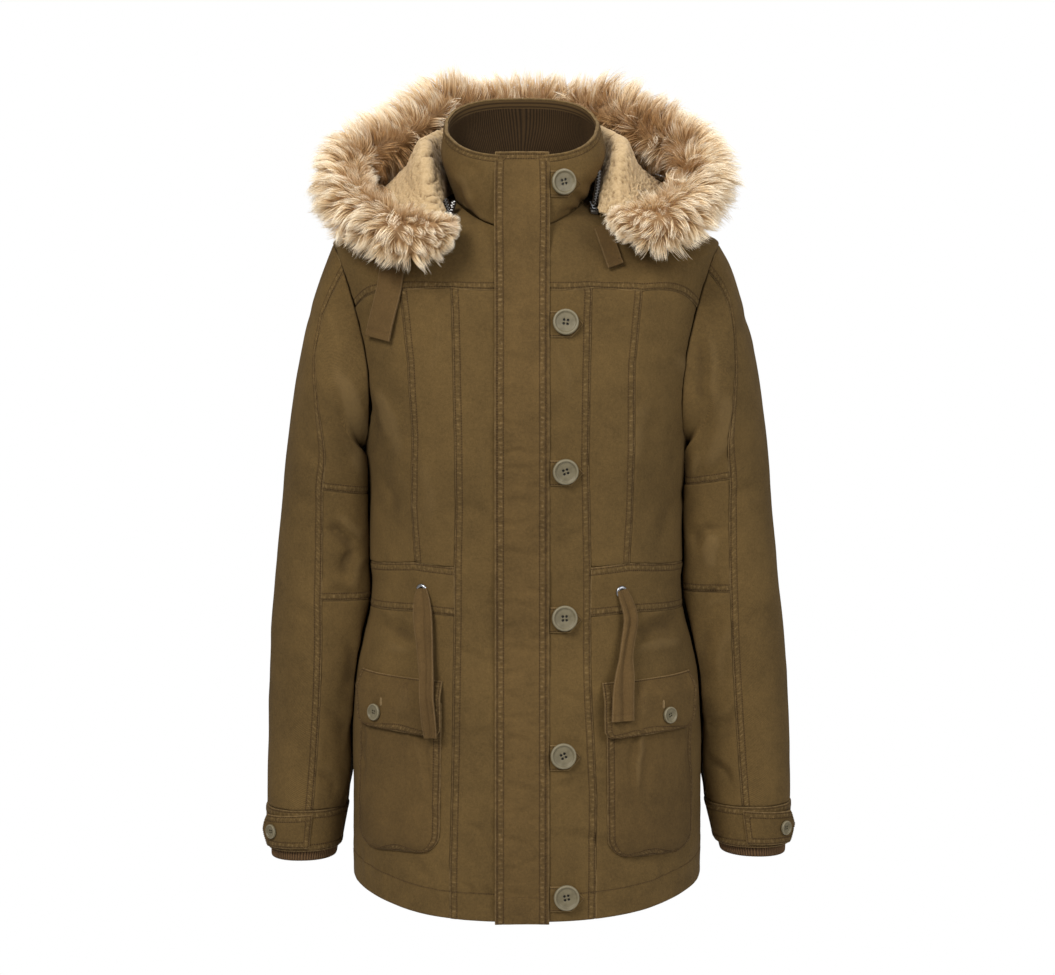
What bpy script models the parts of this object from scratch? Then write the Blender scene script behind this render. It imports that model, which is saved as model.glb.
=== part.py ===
"""Fur trimmed parka, filled out with no wearer. Units are metres, +Z up, the front faces -Y.

Tables are in millimetres and MM turns them into metres. The origin lies between the shoulders,
where the wearer carries the coat. Names end in _r for the wearer's right (-X) and _l for the left.
"""

import math

import bmesh
import bpy
import numpy as np
from mathutils import Matrix, Vector
from mathutils.bvhtree import BVHTree

MM = 0.001
WALL = 2.0 * MM  # canvas with its padding
SEAM_GAP = 0.15 * MM  # each side of a seam
LAY_GAP = 0.6 * MM  # between a panel and what is sewn on it
COLLAR_LAY = 0.9 * MM  # more than that over the collar, which curves more

# Body rings from hem to neck. Heights are given at the front, the side and the back of each ring,
# so the upper rings climb over the shoulders.
# Power squares the ring off, and bend says how the height runs from front to side (1 is a flat cut).
RINGS = np.array([
    # front_z, side_z, back_z, half_width, front_depth, back_depth, power, shift, bend
    (-726, -706, -712, 184, 155, 150, 2.25, 1, 2),
    (-650, -650, -650, 184, 150, 148, 2.25, 1, 2),
    (-560, -560, -560, 184, 141, 143, 2.25, 1, 2),
    (-490, -490, -490, 180, 133, 136, 2.25, 1, 2),
    (-455, -455, -455, 173, 127, 130, 2.25, 1, 2),
    (-420, -420, -420, 165, 123, 124, 2.25, 1, 2),
    (-392, -392, -392, 163, 121, 121, 2.25, 1, 2),
    (-365, -372, -368, 165, 122, 121, 2.25, 1, 2),
    (-310, -310, -310, 165, 125, 126, 2.25, 0, 2),
    (-248, -250, -250, 170, 128, 130, 2.30, 0, 2),
    (-200, -185, -192, 177, 126, 130, 2.30, 0, 2),
    (-150, -118, -128, 188, 119, 125, 2.25, 0, 2),
    (-105, -42, -72, 200, 110, 114, 2.20, 0, 2),
    (-80, -24, -35, 158, 103, 99, 2.20, -1, 2),
    (-52, -10, 2, 112, 95, 79, 2.15, -3, 2),
    (-24, 2, 29, 66, 85, 60, 2.10, -6, 2),
], dtype=float)
HEM, WAIST_LOW, WAIST_TOP, UNDERARM, SHOULDER, NECK = 0, 5, 7, 9, 12, 15  # ring numbers
CENTRE_X = -4.0  # where the two fronts meet, under the placket

# Seams of the fronts, as (x, z) rows from hem to yoke; x is a distance from the centre plane.
INNER_SEAM = {
    "r": np.array([
        (77.5, -722), (77.5, -667), (74.5, -547), (73, -415),
        (73, -365), (71.5, -300), (72, -232), (75.5, -83),
    ]),
    "l": np.array([
        (71, -722), (72, -595), (66, -476), (66, -415),
        (66, -365), (63.5, -256), (64.5, -183), (66.5, -83),
    ]),
}
OUTER_SEAM = {
    "r": np.array([
        (128, -716), (124, -560), (116, -413), (113.5, -362),
        (116, -306), (116, -232), (120, -158), (128, -86),
    ]),
    "l": np.array([
        (124, -716), (118, -560), (108, -413), (106, -362),
        (108, -306), (109, -256), (111, -158), (118, -84),
    ]),
}
YOKE_Z = {"centre": -81.0, "inner": -81.5, "outer": -85.0}
WAIST_TOP_Z = {"centre": -365.0, "inner": -365.0, "outer": -362.5}
WAIST_LOW_Z = {"centre": -415.0, "inner": -415.0, "outer": -413.0}
HEM_Z = {"centre": -723.0, "inner": -722.0, "outer": -717.0}

COLUMNS = (2, 2, 4)  # centre to inner seam, to outer seam, to side
SKIRT_ROWS, CASING_ROWS, SIDE_ROWS = 7, 2, 3
ARM_STEP = 20  # degrees between the armhole's points
ARM_YOKE = 60  # where the yoke seam meets the armhole, in degrees from the shoulder tip
ARM_SWING = 28.0  # how far the armhole reaches round the body, in degrees
ARM_POWER = 0.8
BACK_COLUMNS = 11
SHOULDER_ROWS = 4

# Large soft troughs (depth above 0) and ridges of the body: side, x, z, half-width, half-length,
# lean in degrees from upright, depth.
BODY_FOLDS = (
    (-1, 150, -300, 16, 70, 12, 3.0),
    (-1, 100, -300, 24, 60, -10, -2.0),
    (1, 148, -310, 16, 70, -12, 3.0),
    (1, 95, -290, 24, 60, 8, -2.0),
    (-1, 130, -455, 18, 34, 10, 2.5),
    (1, 125, -452, 18, 34, -10, 2.5),
    (-1, 60, -520, 22, 110, 0, -2.0),
    (1, 120, -690, 26, 60, 6, -3.0),
    (-1, 100, -690, 26, 60, -6, -3.0),
)

# Sleeve rings from armhole to cuff seam: outer and inner edge, depth and where the front seam runs.
SLEEVE = {
    "r": np.array([
        # out_x, out_z, in_x, in_z, y, half_depth, seam_degrees
        (200, -43, 170, -250, 0, 63, 40),
        (212, -73, 173, -252, 0, 67, 42),
        (223, -104, 175, -255, 2, 70, 48),
        (232, -138, 170, -260, 4, 72, 60),
        (240, -178, 163, -267, 8, 73, 76),
        (248, -230, 158, -281, 13, 72, 86),
        (255, -287, 154, -301, 18, 69, 85),
        (259, -325, 152, -335, 21, 67, 85),
        (264, -370, 150, -375, 23, 65, 86),
        (268, -410, 150, -412, 23, 63, 87),
        (272, -465, 155, -466, 22, 60, 90),
        (274, -530, 166, -530, 18, 56, 93),
        (275, -590, 178, -590, 12, 51, 96),
        (275, -634, 189, -633, 5, 47, 99),
    ], dtype=float),
    "l": np.array([
        (200, -40, 170, -250, 0, 63, 40),
        (212, -62, 173, -252, 0, 67, 42),
        (221, -88, 175, -255, 2, 70, 48),
        (230, -120, 170, -260, 4, 72, 60),
        (240, -160, 163, -267, 8, 73, 76),
        (249, -212, 158, -279, 13, 72, 86),
        (256, -274, 154, -292, 18, 69, 85),
        (259, -315, 152, -328, 21, 67, 85),
        (264, -360, 150, -366, 23, 65, 86),
        (268, -401, 150, -403, 23, 63, 87),
        (275, -460, 156, -462, 22, 60, 90),
        (279, -530, 168, -530, 18, 56, 93),
        (281, -590, 180, -590, 12, 51, 96),
        (281, -630, 190, -629, 5, 47, 99),
    ], dtype=float),
}
SLEEVE_FRONT_COLUMNS, SLEEVE_BACK_COLUMNS = 7, 11
SLEEVE_SEAM_START = 40  # where the front seam leaves the armhole, in degrees from the shoulder tip
ELBOW_TOP, ELBOW_LOW, CUFF_SEAM = 6, 9, 13  # sleeve ring numbers
ARMHOLE_BLEND = (1.0, 0.6, 0.28, 0.08)  # how much of the armhole's own shape the first rings keep
SLEEVE_POWER = 2.2
SLEEVE_CLEAR = 2.6 * MM  # sleeve to body
# Sleeve folds: side, ring number, degrees round, half-length in rings, half-width in degrees, depth.
SLEEVE_FOLDS = (
    ("r", 3.4, 112, 1.3, 14, 4.0),
    ("r", 4.6, 128, 1.0, 14, -4.0),
    ("r", 7.2, 60, 0.9, 26, 3.0),
    ("r", 10.4, 40, 1.6, 22, 3.0),
    ("l", 3.4, 114, 1.3, 14, 4.0),
    ("l", 4.6, 130, 1.0, 14, -4.0),
    ("l", 7.4, 70, 0.9, 26, 3.0),
    ("l", 11.0, 110, 1.4, 22, 3.0),
)

CUFF = {"r": (274.0, -684.0, 198.0, -683.0), "l": (279.0, -683.0, 203.0, -681.0)}  # out x z, in x z
CUFF_HALF_DEPTH = 43.0
CUFF_BAND = 44.0  # height of the cuff band
CUFF_GAP = 0.4  # between the sleeve's end and the cuff band
CUFF_RAISE = 1.2  # the cuff band stands this much proud of the sleeve
CUFF_WALL = 2.6 * MM
RIB_DROP, RIB_TUCK = 10.5, 12.0  # rib cuff below the band and inside it
RIB_WALL, RIB_RAISE = 2.4 * MM, 1.0 * MM
CUFF_RIBS, CUFF_RIB_GROUP = 48, 4
COLLAR_RIBS, COLLAR_RIB_GROUP = 60, 3
RIB_CLEAR = 1.6  # rib cuff to cuff band
TAB_FROM, TAB_TO = 99.0, 12.0  # the cuff tab's run, in degrees round the cuff
TAB_KEYS = (TAB_TO, TAB_TO + 16, TAB_FROM)  # its tip, its shoulder and its sewn end
TAB_HALF = (1.2, 16.8, 18.0)  # half its height at each
TAB_LIFT = (3.4, 2.4, 0.2)  # how far it stands off the band at each
TAB_MIDDLE = (0.58, 0.56, 0.5)  # where it lies on the band, as a share of the band's height
TAB_WALL = 1.8 * MM

# Collar rings from neck seam to rim, with the same columns as the body rings.
COLLAR_RINGS = np.array([
    (-23.3, 2.7, 29.7, 66, 85, 60, 2.10, -6, 2.0),
    (-4, 26, 50, 77, 84, 63, 2.20, -4, 1.7),
    (22, 54, 79, 85, 80, 64, 2.50, -3, 1.3),
    (51, 82, 109, 80, 75, 60, 2.80, -4.5, 1.0),
], dtype=float)
COLLAR_WALL = 2.6 * MM
COLLAR_COLUMNS, COLLAR_ROWS = 40, 3
COLLAR_LINING_GAP = 0.5 * MM
COLLAR_SLIT = 0.35  # degrees that the collar's two ends stand off the front line

PLACKET = {"left": -31.5, "right": 23.5, "bottom": -725.0, "top": 51.0, "wall": 2.4 * MM, "rows": 26}
BUTTON = {"radius": 13.2, "height": 4.4, "hole": 1.4, "spread": 2.7}
SMALL_BUTTON = {"radius": 8.6, "height": 3.2, "hole": 0, "spread": 0}
CUFF_BUTTON = {"radius": 7.6, "height": 3.0, "hole": 0, "spread": 0}
BUTTON_PROFILE = ((0.0, 0.0), (0.93, 0.0), (1.0, 0.45), (0.94, 1.0), (0.82, 0.96), (0.7, 0.64),
                  (0.0, 0.64))  # radius and height as shares
BUTTON_STEPS, SMALL_BUTTON_STEPS, HOLE_STEPS = 14, 10, 5
BUTTON_LIFT = 0.3 * MM  # hard pieces stand this much off what is under them
HOLE_TURN = 52.0  # where the first thread hole lies, in degrees
HOLE_SKEW = 0.2  # turns each hole's own sides off the button's, in radians
BUTTON_PLACES = ((36.4, 24.1), (39.7, -116.0), (39.3, -264.9), (38.6, -415.8), (37.5, -554.3), (40.6, -697.9))
BUTTON_TAB = {"start": 24.4, "shoulder": 45.0, "tip": 57.0, "above": 11.0, "below": 15.0, "wall": 1.8 * MM}

# Pockets and flaps: corners as (distance from centre, z).
POCKET = {
    "r": {"top_in": (85.5, -503), "top_out": (174, -505), "low_out": (177, -663), "low_in": (87.9, -654.9)},
    "l": {"top_in": (81.8, -502), "top_out": (174, -505), "low_out": (177, -665), "low_in": (82.9, -658.8)},
}
POCKET_PLEATS = {"r": (0.36,), "l": (0.36, 0.9)}  # shares of the way from the inner edge to the side
POCKET_RISE, POCKET_ROUND, POCKET_WALL = 3.6, 20.0, 1.6 * MM
PLEAT_RISE, PLEAT_SHARE = 1.4, 0.03  # its height, and its width as a share of the pocket's
POCKET_EDGE = 7.0  # how quickly a pocket swells from its sewn edge
FLAP = {
    "r": {"top_in": (84.5, -480.7), "top_out": (170.5, -479.8), "low_out": (169.5, -532.6), "low_in": (83.6, -537.2)},
    "l": {"top_in": (77.1, -482.2), "top_out": (172.5, -480.8), "low_out": (171.4, -534.8), "low_in": (77.2, -538.8)},
}
FLAP_RISE, FLAP_ROUND, FLAP_WALL = 8.0, 10.0, 2.0 * MM
FLAP_SLOPE = 2.0  # how soon below its seam the flap stands clear of the pocket
FLAP_BUTTON = {"r": (147.7, -518.7), "l": (139.9, -520.0)}

# Waist drawstrings: x, z, lift off the cloth and width at each point of the way down.
DRAWSTRING = {
    "r": ((-105.8, -388.4, -0.2, 10), (-103.8, -402, 3.0, 17), (-101.6, -419, 5.5, 20), (-98.8, -452, 7, 17),
          (-95.8, -477, 11, 15), (-94.7, -500, 13.5, 14), (-93.0, -521, 13.5, 15), (-91.4, -538, 12.5, 13)),
    "l": ((97.3, -389.3, -0.2, 10), (100.5, -402, 3.0, 13), (103.2, -419, 5.5, 14), (98.0, -454, 8, 14),
          (95.3, -478, 12, 20), (93.5, -500, 13.5, 22), (93.4, -521, 13, 23)),
}
DRAWSTRING_WALL = 2.0 * MM
RIBBON_FOLLOW = 0.65  # how much of the cloth's own curve a ribbon takes across its width
DRAPE_STEP = 4.0  # how far apart the cloth is felt for its slope
# Hood ties: x, z and lift off the cloth.
HOOD_TIE = {
    "r": ((-134, -46, 0.0), (-137, -80, 2.0), (-142, -106, 3.0), (-147.6, -134, 3.5)),
    "l": ((77, -22, -0.2), (81.5, -36, 0.6), (90, -62, 2.0)),
}
HOOD_TIE_WIDTH = {"r": 25.0, "l": 16.0}
HOOD_TIE_WALL = 2.0 * MM

# The fur's centre line and radius from the wearer's right front, behind the collar, to the left front.
FUR_PATH = np.array([
    (-74, -88, -16, 20), (-94, -118, -28, 32), (-121, -118, -30, 35), (-152, -90, -19, 37),
    (-182, -55, 0, 37), (-190, -10, 25, 36), (-180, 35, 47, 37), (-148, 66, 60, 41), (-120, 88, 79, 42),
    (-86, 112, 98, 41), (-48, 128, 99, 36), (0, 136, 103, 34), (50, 128, 98, 36), (86, 112, 95, 41),
    (114, 90, 82, 44), (144, 66, 68, 43), (170, 38, 56, 38), (180, 0, 40, 36), (178, -40, 15, 37),
    (159, -85, -6, 37), (129, -113, -19, 35), (104, -108, -14, 28), (86, -84, -12, 19),
], dtype=float)
FUR_STATIONS, FUR_SIDES = 38, 12
FUR_LUMP = 0.07  # share of the radius by which tufts rise and fall
FUR_TAPER = (0.45, 0.85, 1.0)  # the radius at its last stations, as a share
FUR_CLEAR = 1.0 * MM
FUR_ENDS = 5  # stations at each end that lie on the front itself
FUR_OVER_HOOD = 8.5 * MM  # room for the hood between the fur and the shoulders
HOOD_COLUMNS = 20
HOOD_START = 53.0  # where the hood's neck seam begins, in degrees from the front
HOOD_SEAM, HOOD_CORNER = 0.35, 0.65  # rings below the neck where its seam lies, and its front corner
RIM_STEPS = 400
RIM_START = 0.08  # where the hood's rim begins on the fur, as a share of its length
# From its ends inwards, the rim drops beneath the fur and then goes under it; shares of its length.
RIM_DROP, RIM_UNDER = (0.0, 0.12), (0.12, 0.26)
FRONT_SHARE = 0.14  # from its ends inwards, the hood opens out of its flat front corners
BEHIND = (0.64, 0.96)  # sines round the neck between which the side's shape turns into the bag's
# The hood stands up against the collar first: collar level and distance from it, in millimetres.
HOOD_STAND = ((0.9, 10.0), (1.7, 11.0), (2.15, 17.0), (1.8, 26.0))
# Behind, it then lies down the back: rings below the neck and distance from the back.
HOOD_BAG = ((0.9, 20.0), (1.9, 6.0), (3.1, 4.0), (3.7, 16.0), (2.9, 32.0))
HOOD_RISE = ((0.36, 20.0), (0.7, 18.0))  # on the way up to the rim: share of the way and bulge
HOOD_SAG = 8.0  # how far the sides sink between collar and fur
HOOD_SMOOTHING = 3  # rounds of evening out its hanging rows
HOOD_CLEAR = 1.5 * MM
PILE_WALL, PILE_GAP = 2.0 * MM, 0.4 * MM
RIM_CLEAR = WALL + PILE_GAP + PILE_WALL + 2.6 * MM  # hood's outside to the fur
STAND_CLEAR = RIM_CLEAR  # hood's outside to the collar, with its lining between

ZIP_PLACE = (69.0, -8.0)
ZIP_BAR = 0.7  # from the pull tab's end to the bar it hangs from
ZIP_SLIDER = (8.0, 3.0, 10.0)  # width, height, length
ZIP_PULL = (6.0, 1.4, 17.0)

MATERIALS = {
    "canvas": ((0.128, 0.080, 0.030), 0.85, 0.0),
    "tape": ((0.118, 0.074, 0.028), 0.85, 0.0),
    "rib_knit": ((0.045, 0.026, 0.011), 0.9, 0.0),
    "pile": ((0.58, 0.43, 0.26), 0.95, 0.0),
    "fur": ((0.44, 0.28, 0.15), 0.9, 0.0),
    "button": ((0.20, 0.165, 0.105), 0.45, 0.0),
    "metal": ((0.32, 0.30, 0.27), 0.35, 1.0),
}


def clear_scene():
    for thing in list(bpy.data.objects):
        bpy.data.objects.remove(thing, do_unlink=True)


def make_materials():
    made = {}
    for slot, (colour, roughness, metallic) in MATERIALS.items():
        material = bpy.data.materials.new(slot)
        material.use_nodes = True
        shader = material.node_tree.nodes["Principled BSDF"]
        shader.inputs["Base Color"].default_value = (*colour, 1.0)
        shader.inputs["Roughness"].default_value = roughness
        shader.inputs["Metallic"].default_value = metallic
        material.diffuse_color = (*colour, 1.0)
        made[slot] = material
    return made


# ---- curves through table rows ----

def row_slopes(keys, rows):
    """Slope at each row of a table, level at a peak so that the curve never overshoots."""
    step = np.diff(keys)[:, None]
    rise = np.diff(rows, axis=0) / step
    slopes = np.zeros_like(rows)
    slopes[0], slopes[-1] = rise[0], rise[-1]
    before, after = rise[:-1], rise[1:]
    weight_a = 2 * step[1:] + step[:-1]
    weight_b = step[1:] + 2 * step[:-1]
    same = before * after > 0
    safe_before = np.where(same, before, 1.0)
    safe_after = np.where(same, after, 1.0)
    mean = (weight_a + weight_b) / (weight_a / safe_before + weight_b / safe_after)
    slopes[1:-1] = np.where(same, mean, 0.0)
    return slopes


def read_rows(keys, rows, at):
    """The table's smooth value at each of the places."""
    keys = np.asarray(keys, dtype=float)
    rows = np.asarray(rows, dtype=float)
    at = np.clip(np.asarray(at, dtype=float), keys[0], keys[-1])
    slopes = row_slopes(keys, rows)
    low = np.clip(np.searchsorted(keys, at, side="right") - 1, 0, len(keys) - 2)
    step = keys[low + 1] - keys[low]
    share = ((at - keys[low]) / step)[..., None]
    span = step[..., None]
    a, b = rows[low], rows[low + 1]
    slope_a, slope_b = slopes[low] * span, slopes[low + 1] * span
    return (a * (2 * share**3 - 3 * share**2 + 1) + slope_a * (share**3 - 2 * share**2 + share)
            + b * (3 * share**2 - 2 * share**3) + slope_b * (share**3 - share**2))


def unit(vectors):
    return vectors / np.maximum(np.linalg.norm(vectors, axis=-1, keepdims=True), 1e-12)


# ---- the body's surface: angle 0 is the front, +90 the wearer's left, 180 the back ----

def ring_point(rings, angle, level):
    """A point on stacked rings; level counts rings and may lie between two."""
    row = read_rows(np.arange(len(rings)), rings, level)
    radians = np.radians(np.asarray(angle, dtype=float))
    sine, cosine = np.sin(radians), np.cos(radians)
    curve = 2.0 / row[..., 6]
    x = row[..., 7] + row[..., 3] * np.sign(sine) * np.abs(sine)**curve
    depth = np.where(cosine > 0, row[..., 4], row[..., 5])
    y = -depth * np.sign(cosine) * np.abs(cosine)**curve
    face = np.where(cosine > 0, row[..., 0], row[..., 2])
    facing = np.abs(cosine)**row[..., 8]
    z = face * facing + row[..., 1] * (1 - facing)
    return np.stack([x, y, z], axis=-1)


def ring_normal(rings, angle, level):
    """Outward normal of the ring surface."""
    angle, level = np.broadcast_arrays(np.asarray(angle, dtype=float), np.asarray(level, dtype=float))
    top = len(rings) - 1
    turn, climb = 1.2, 0.04
    round_it = ring_point(rings, angle + turn, level) - ring_point(rings, angle - turn, level)
    upper = np.minimum(level + climb, top)
    lower = np.maximum(level - climb, 0)
    up_it = ring_point(rings, angle, upper) - ring_point(rings, angle, lower)
    return unit(np.cross(round_it, up_it))


def fold_depth(points):
    """How far the body's large folds sink each point, in millimetres."""
    depth = np.zeros(points.shape[:-1])
    for side, x, z, half_width, half_length, lean, deep in BODY_FOLDS:
        lean = math.radians(lean) * side
        across = (points[..., 0] - side * x) * math.cos(lean) - (points[..., 2] - z) * math.sin(lean)
        along = (points[..., 0] - side * x) * math.sin(lean) + (points[..., 2] - z) * math.cos(lean)
        front = points[..., 1] < 20
        depth += np.where(front, deep * np.exp(-(across / half_width)**2 - (along / half_length)**2), 0)
    return depth


def body_point(angle, level):
    """A point of the body's outside and its normal, in metres."""
    points = ring_point(RINGS, angle, level)
    normals = ring_normal(RINGS, angle, level)
    points = points - normals * fold_depth(points)[..., None]
    return points * MM, normals


def front_place(x, z):
    """Angle and level of the body's front at (x, z) in millimetres."""
    x, z = np.broadcast_arrays(np.asarray(x, dtype=float), np.asarray(z, dtype=float))
    low, high = np.zeros(x.shape), np.full(x.shape, float(NECK))
    for _ in range(40):
        level = (low + high) / 2
        angle = front_angle(x, level)
        below = ring_point(RINGS, angle, level)[..., 2] < z
        low, high = np.where(below, level, low), np.where(below, high, level)
    return front_angle(x, level), level


def front_angle(x, level):
    row = read_rows(np.arange(len(RINGS)), RINGS, level)
    offset = x - row[..., 7]
    share = np.clip(np.abs(offset) / row[..., 3], 0, 1)
    return np.sign(offset) * np.degrees(np.arcsin(share**(row[..., 6] / 2)))


def armhole(side, degrees):
    """Angle and level of the armhole; 0 is the shoulder tip, 90 the front, 180 the underarm."""
    degrees = np.asarray(degrees, dtype=float)
    middle = (SHOULDER + UNDERARM) / 2
    reach = (SHOULDER - UNDERARM) / 2
    level = middle + reach * np.cos(np.radians(degrees))
    sine = np.sin(np.radians(degrees))
    swing = ARM_SWING * np.sign(sine) * np.abs(sine)**ARM_POWER
    return side * (90 - swing), level


# ---- solids from grids of points ----

def inset(points, rows=True, columns=True):
    """Pulls the grid's edge points in by half a seam gap."""
    points = points.copy()
    if rows:
        points[0] += unit(points[1] - points[0]) * SEAM_GAP
        points[-1] += unit(points[-2] - points[-1]) * SEAM_GAP
    if columns:
        points[:, 0] += unit(points[:, 1] - points[:, 0]) * SEAM_GAP
        points[:, -1] += unit(points[:, -2] - points[:, -1]) * SEAM_GAP
    return points


def grid_solid(name, slot, outer, inner, closed=False):
    """A wall between two grids of points; closed joins the last column to the first."""
    rows, columns = outer.shape[:2]
    count = rows * columns
    last = columns if closed else columns - 1
    faces = []
    for i in range(rows - 1):
        for j in range(last):
            a, b = i * columns + j, i * columns + (j + 1) % columns
            faces.append((a, b, b + columns, a + columns))
            faces.append((a + count, a + columns + count, b + columns + count, b + count))
    for j in range(last):
        a, b = j, (j + 1) % columns
        top = (rows - 1) * columns
        faces.append((a, a + count, b + count, b))
        faces.append((a + top, b + top, b + top + count, a + top + count))
    if not closed:
        for i in range(rows - 1):
            for j in (0, columns - 1):
                a, b = i * columns + j, (i + 1) * columns + j
                faces.append((a, b, b + count, a + count))
    return mesh_object(name, slot, np.concatenate([outer.reshape(-1, 3), inner.reshape(-1, 3)]), faces)


def ribbed_solid(name, slot, ribbed, plain, closed=False):
    """A wall with ribs on one face; its plain face has one column for each group of ribbed columns."""
    rows, columns = ribbed.shape[:2]
    groups = plain.shape[1] if closed else plain.shape[1] - 1
    step = columns // groups
    base = rows * columns
    wide = plain.shape[1]
    faces = []
    for i in range(rows - 1):
        for j in range(columns if closed else columns - 1):
            a, b = i * columns + j, i * columns + (j + 1) % columns
            faces.append((a, b, b + columns, a + columns))
        for j in range(groups):
            a, b = base + i * wide + j, base + i * wide + (j + 1) % wide
            faces.append((a, a + wide, b + wide, b))
        if not closed:
            for j, k in ((0, 0), (columns - 1, wide - 1)):
                a, b = i * columns + j, base + i * wide + k
                faces.append((a, a + columns, b + wide, b))
    for i in (0, rows - 1):
        for j in range(groups):
            edge = [i * columns + (j * step + k) % columns for k in range(step + 1)]
            faces.append((*edge, base + i * wide + (j + 1) % wide, base + i * wide + j))
    return mesh_object(name, slot, np.concatenate([ribbed.reshape(-1, 3), plain.reshape(-1, 3)]), faces)


def mesh_object(name, slot, points, faces):
    mesh = bpy.data.meshes.new(name)
    mesh.from_pydata([tuple(p) for p in points], [], faces)
    shape = bmesh.new()
    shape.from_mesh(mesh)
    bmesh.ops.recalc_face_normals(shape, faces=shape.faces)
    bmesh.ops.triangulate(shape, faces=shape.faces, quad_method="SHORT_EDGE")
    shape.to_mesh(mesh)
    shape.free()
    thing = bpy.data.objects.new(name, mesh)
    coat.objects.link(thing)
    mesh.materials.append(materials[slot])
    return thing


def panel(name, angles, levels, slot="canvas", wall=WALL):
    """A cut piece of the body, given by its grid of angles and levels."""
    points, normals = body_point(angles, levels)
    outer, inner = points, points - normals * wall
    return grid_solid(name, slot, inset(outer), inset(inner))


# ---- the fronts' shared grid, so neighbours share every seam point ----

def seam_line(side, name, heights):
    """Angles and levels down one seam of a front."""
    sign = -1 if side == "r" else 1
    heights = np.asarray(heights, dtype=float)
    if name == "centre":
        x = np.full(heights.shape, CENTRE_X)
    else:
        table = (INNER_SEAM if name == "inner" else OUTER_SEAM)[side]
        x = sign * np.interp(heights, table[:, 1], table[:, 0])
    return front_place(x, heights)


def front_rows(name):
    """Heights of the rows at one seam, from hem to yoke."""
    upper = SIDE_ROWS + (180 - ARM_YOKE) // ARM_STEP
    skirt = np.linspace(HEM_Z[name], WAIST_LOW_Z[name], SKIRT_ROWS + 1)
    casing = np.linspace(WAIST_LOW_Z[name], WAIST_TOP_Z[name], CASING_ROWS + 1)
    chest = np.linspace(WAIST_TOP_Z[name], YOKE_Z[name], upper + 1)
    return np.concatenate([skirt, casing[1:], chest[1:]])


def side_line(side):
    """Angles and levels up the side seam, then round the front of the armhole to the yoke."""
    sign = -1 if side == "r" else 1
    levels = np.concatenate([
        np.linspace(HEM, WAIST_LOW, SKIRT_ROWS + 1),
        np.linspace(WAIST_LOW, WAIST_TOP, CASING_ROWS + 1)[1:],
        np.linspace(WAIST_TOP, UNDERARM, SIDE_ROWS + 1)[1:],
    ])
    degrees = np.arange(180 - ARM_STEP, ARM_YOKE - 1, -ARM_STEP)
    arm_angles, arm_levels = armhole(sign, degrees)
    return np.concatenate([np.full(levels.shape, 90.0 * sign), arm_angles]), np.concatenate([levels, arm_levels])


def front_grid(side):
    """Angles and levels of a whole front below the yoke, hem row first, centre column first."""
    lines = [seam_line(side, name, front_rows(name)) for name in ("centre", "inner", "outer")]
    lines.append(side_line(side))
    angles, levels = [], []
    for count, (start, end) in zip(COLUMNS, zip(lines[:-1], lines[1:])):
        shares = np.linspace(0, 1, count + 1)[:-1]
        for share in shares:
            angles.append(start[0] * (1 - share) + end[0] * share)
            levels.append(start[1] * (1 - share) + end[1] * share)
    angles.append(lines[-1][0])
    levels.append(lines[-1][1])
    return np.stack(angles, axis=1), np.stack(levels, axis=1)


def yoke_grid(side, bottom_angles, bottom_levels):
    """The front yoke: its lower edge is the fronts' top row, its far edge armhole and shoulder."""
    sign = -1 if side == "r" else 1
    arm = armhole(sign, np.arange(ARM_YOKE, -1, -ARM_STEP))
    shoulder = np.linspace(SHOULDER, NECK, SHOULDER_ROWS + 1)[1:]
    right = np.stack([np.concatenate([arm[0], np.full(SHOULDER_ROWS, 90.0 * sign)]),
                      np.concatenate([arm[1], shoulder])], axis=-1)
    rows = len(right)
    bottom = np.stack([bottom_angles, bottom_levels], axis=-1)
    left_levels = np.linspace(bottom_levels[0], NECK, rows)
    left = np.stack([front_angle(np.full(rows, CENTRE_X), left_levels), left_levels], axis=-1)
    columns = len(bottom)
    top = np.stack([np.linspace(left[-1, 0], 90.0 * sign, columns), np.full(columns, float(NECK))], axis=-1)
    s = np.linspace(0, 1, columns)[None, :, None]
    r = np.linspace(0, 1, rows)[:, None, None]
    corners = ((1 - s) * (1 - r) * bottom[0] + s * (1 - r) * bottom[-1] + (1 - s) * r * top[0] + s * r * top[-1])
    grid = (1 - r) * bottom[None] + r * top[None] + (1 - s) * left[:, None] + s * right[:, None] - corners
    return grid[..., 0], grid[..., 1]


def make_fronts():
    waist_low = SKIRT_ROWS
    waist_top = SKIRT_ROWS + CASING_ROWS
    inner = COLUMNS[0]
    outer = COLUMNS[0] + COLUMNS[1]
    for side in ("r", "l"):
        angles, levels = front_grid(side)
        cuts = {
            "centre_front": (slice(0, None), slice(0, inner + 1)),
            "mid_front": (slice(waist_top, None), slice(inner, outer + 1)),
            "side_front": (slice(waist_top, None), slice(outer, None)),
            "waist_casing": (slice(waist_low, waist_top + 1), slice(inner, None)),
            "skirt_front": (slice(0, waist_low + 1), slice(inner, None)),
        }
        for name, cut in cuts.items():
            panel(f"{name}_{side}", angles[cut], levels[cut])
        panel(f"front_yoke_{side}", *yoke_grid(side, angles[-1], levels[-1]))


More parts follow.
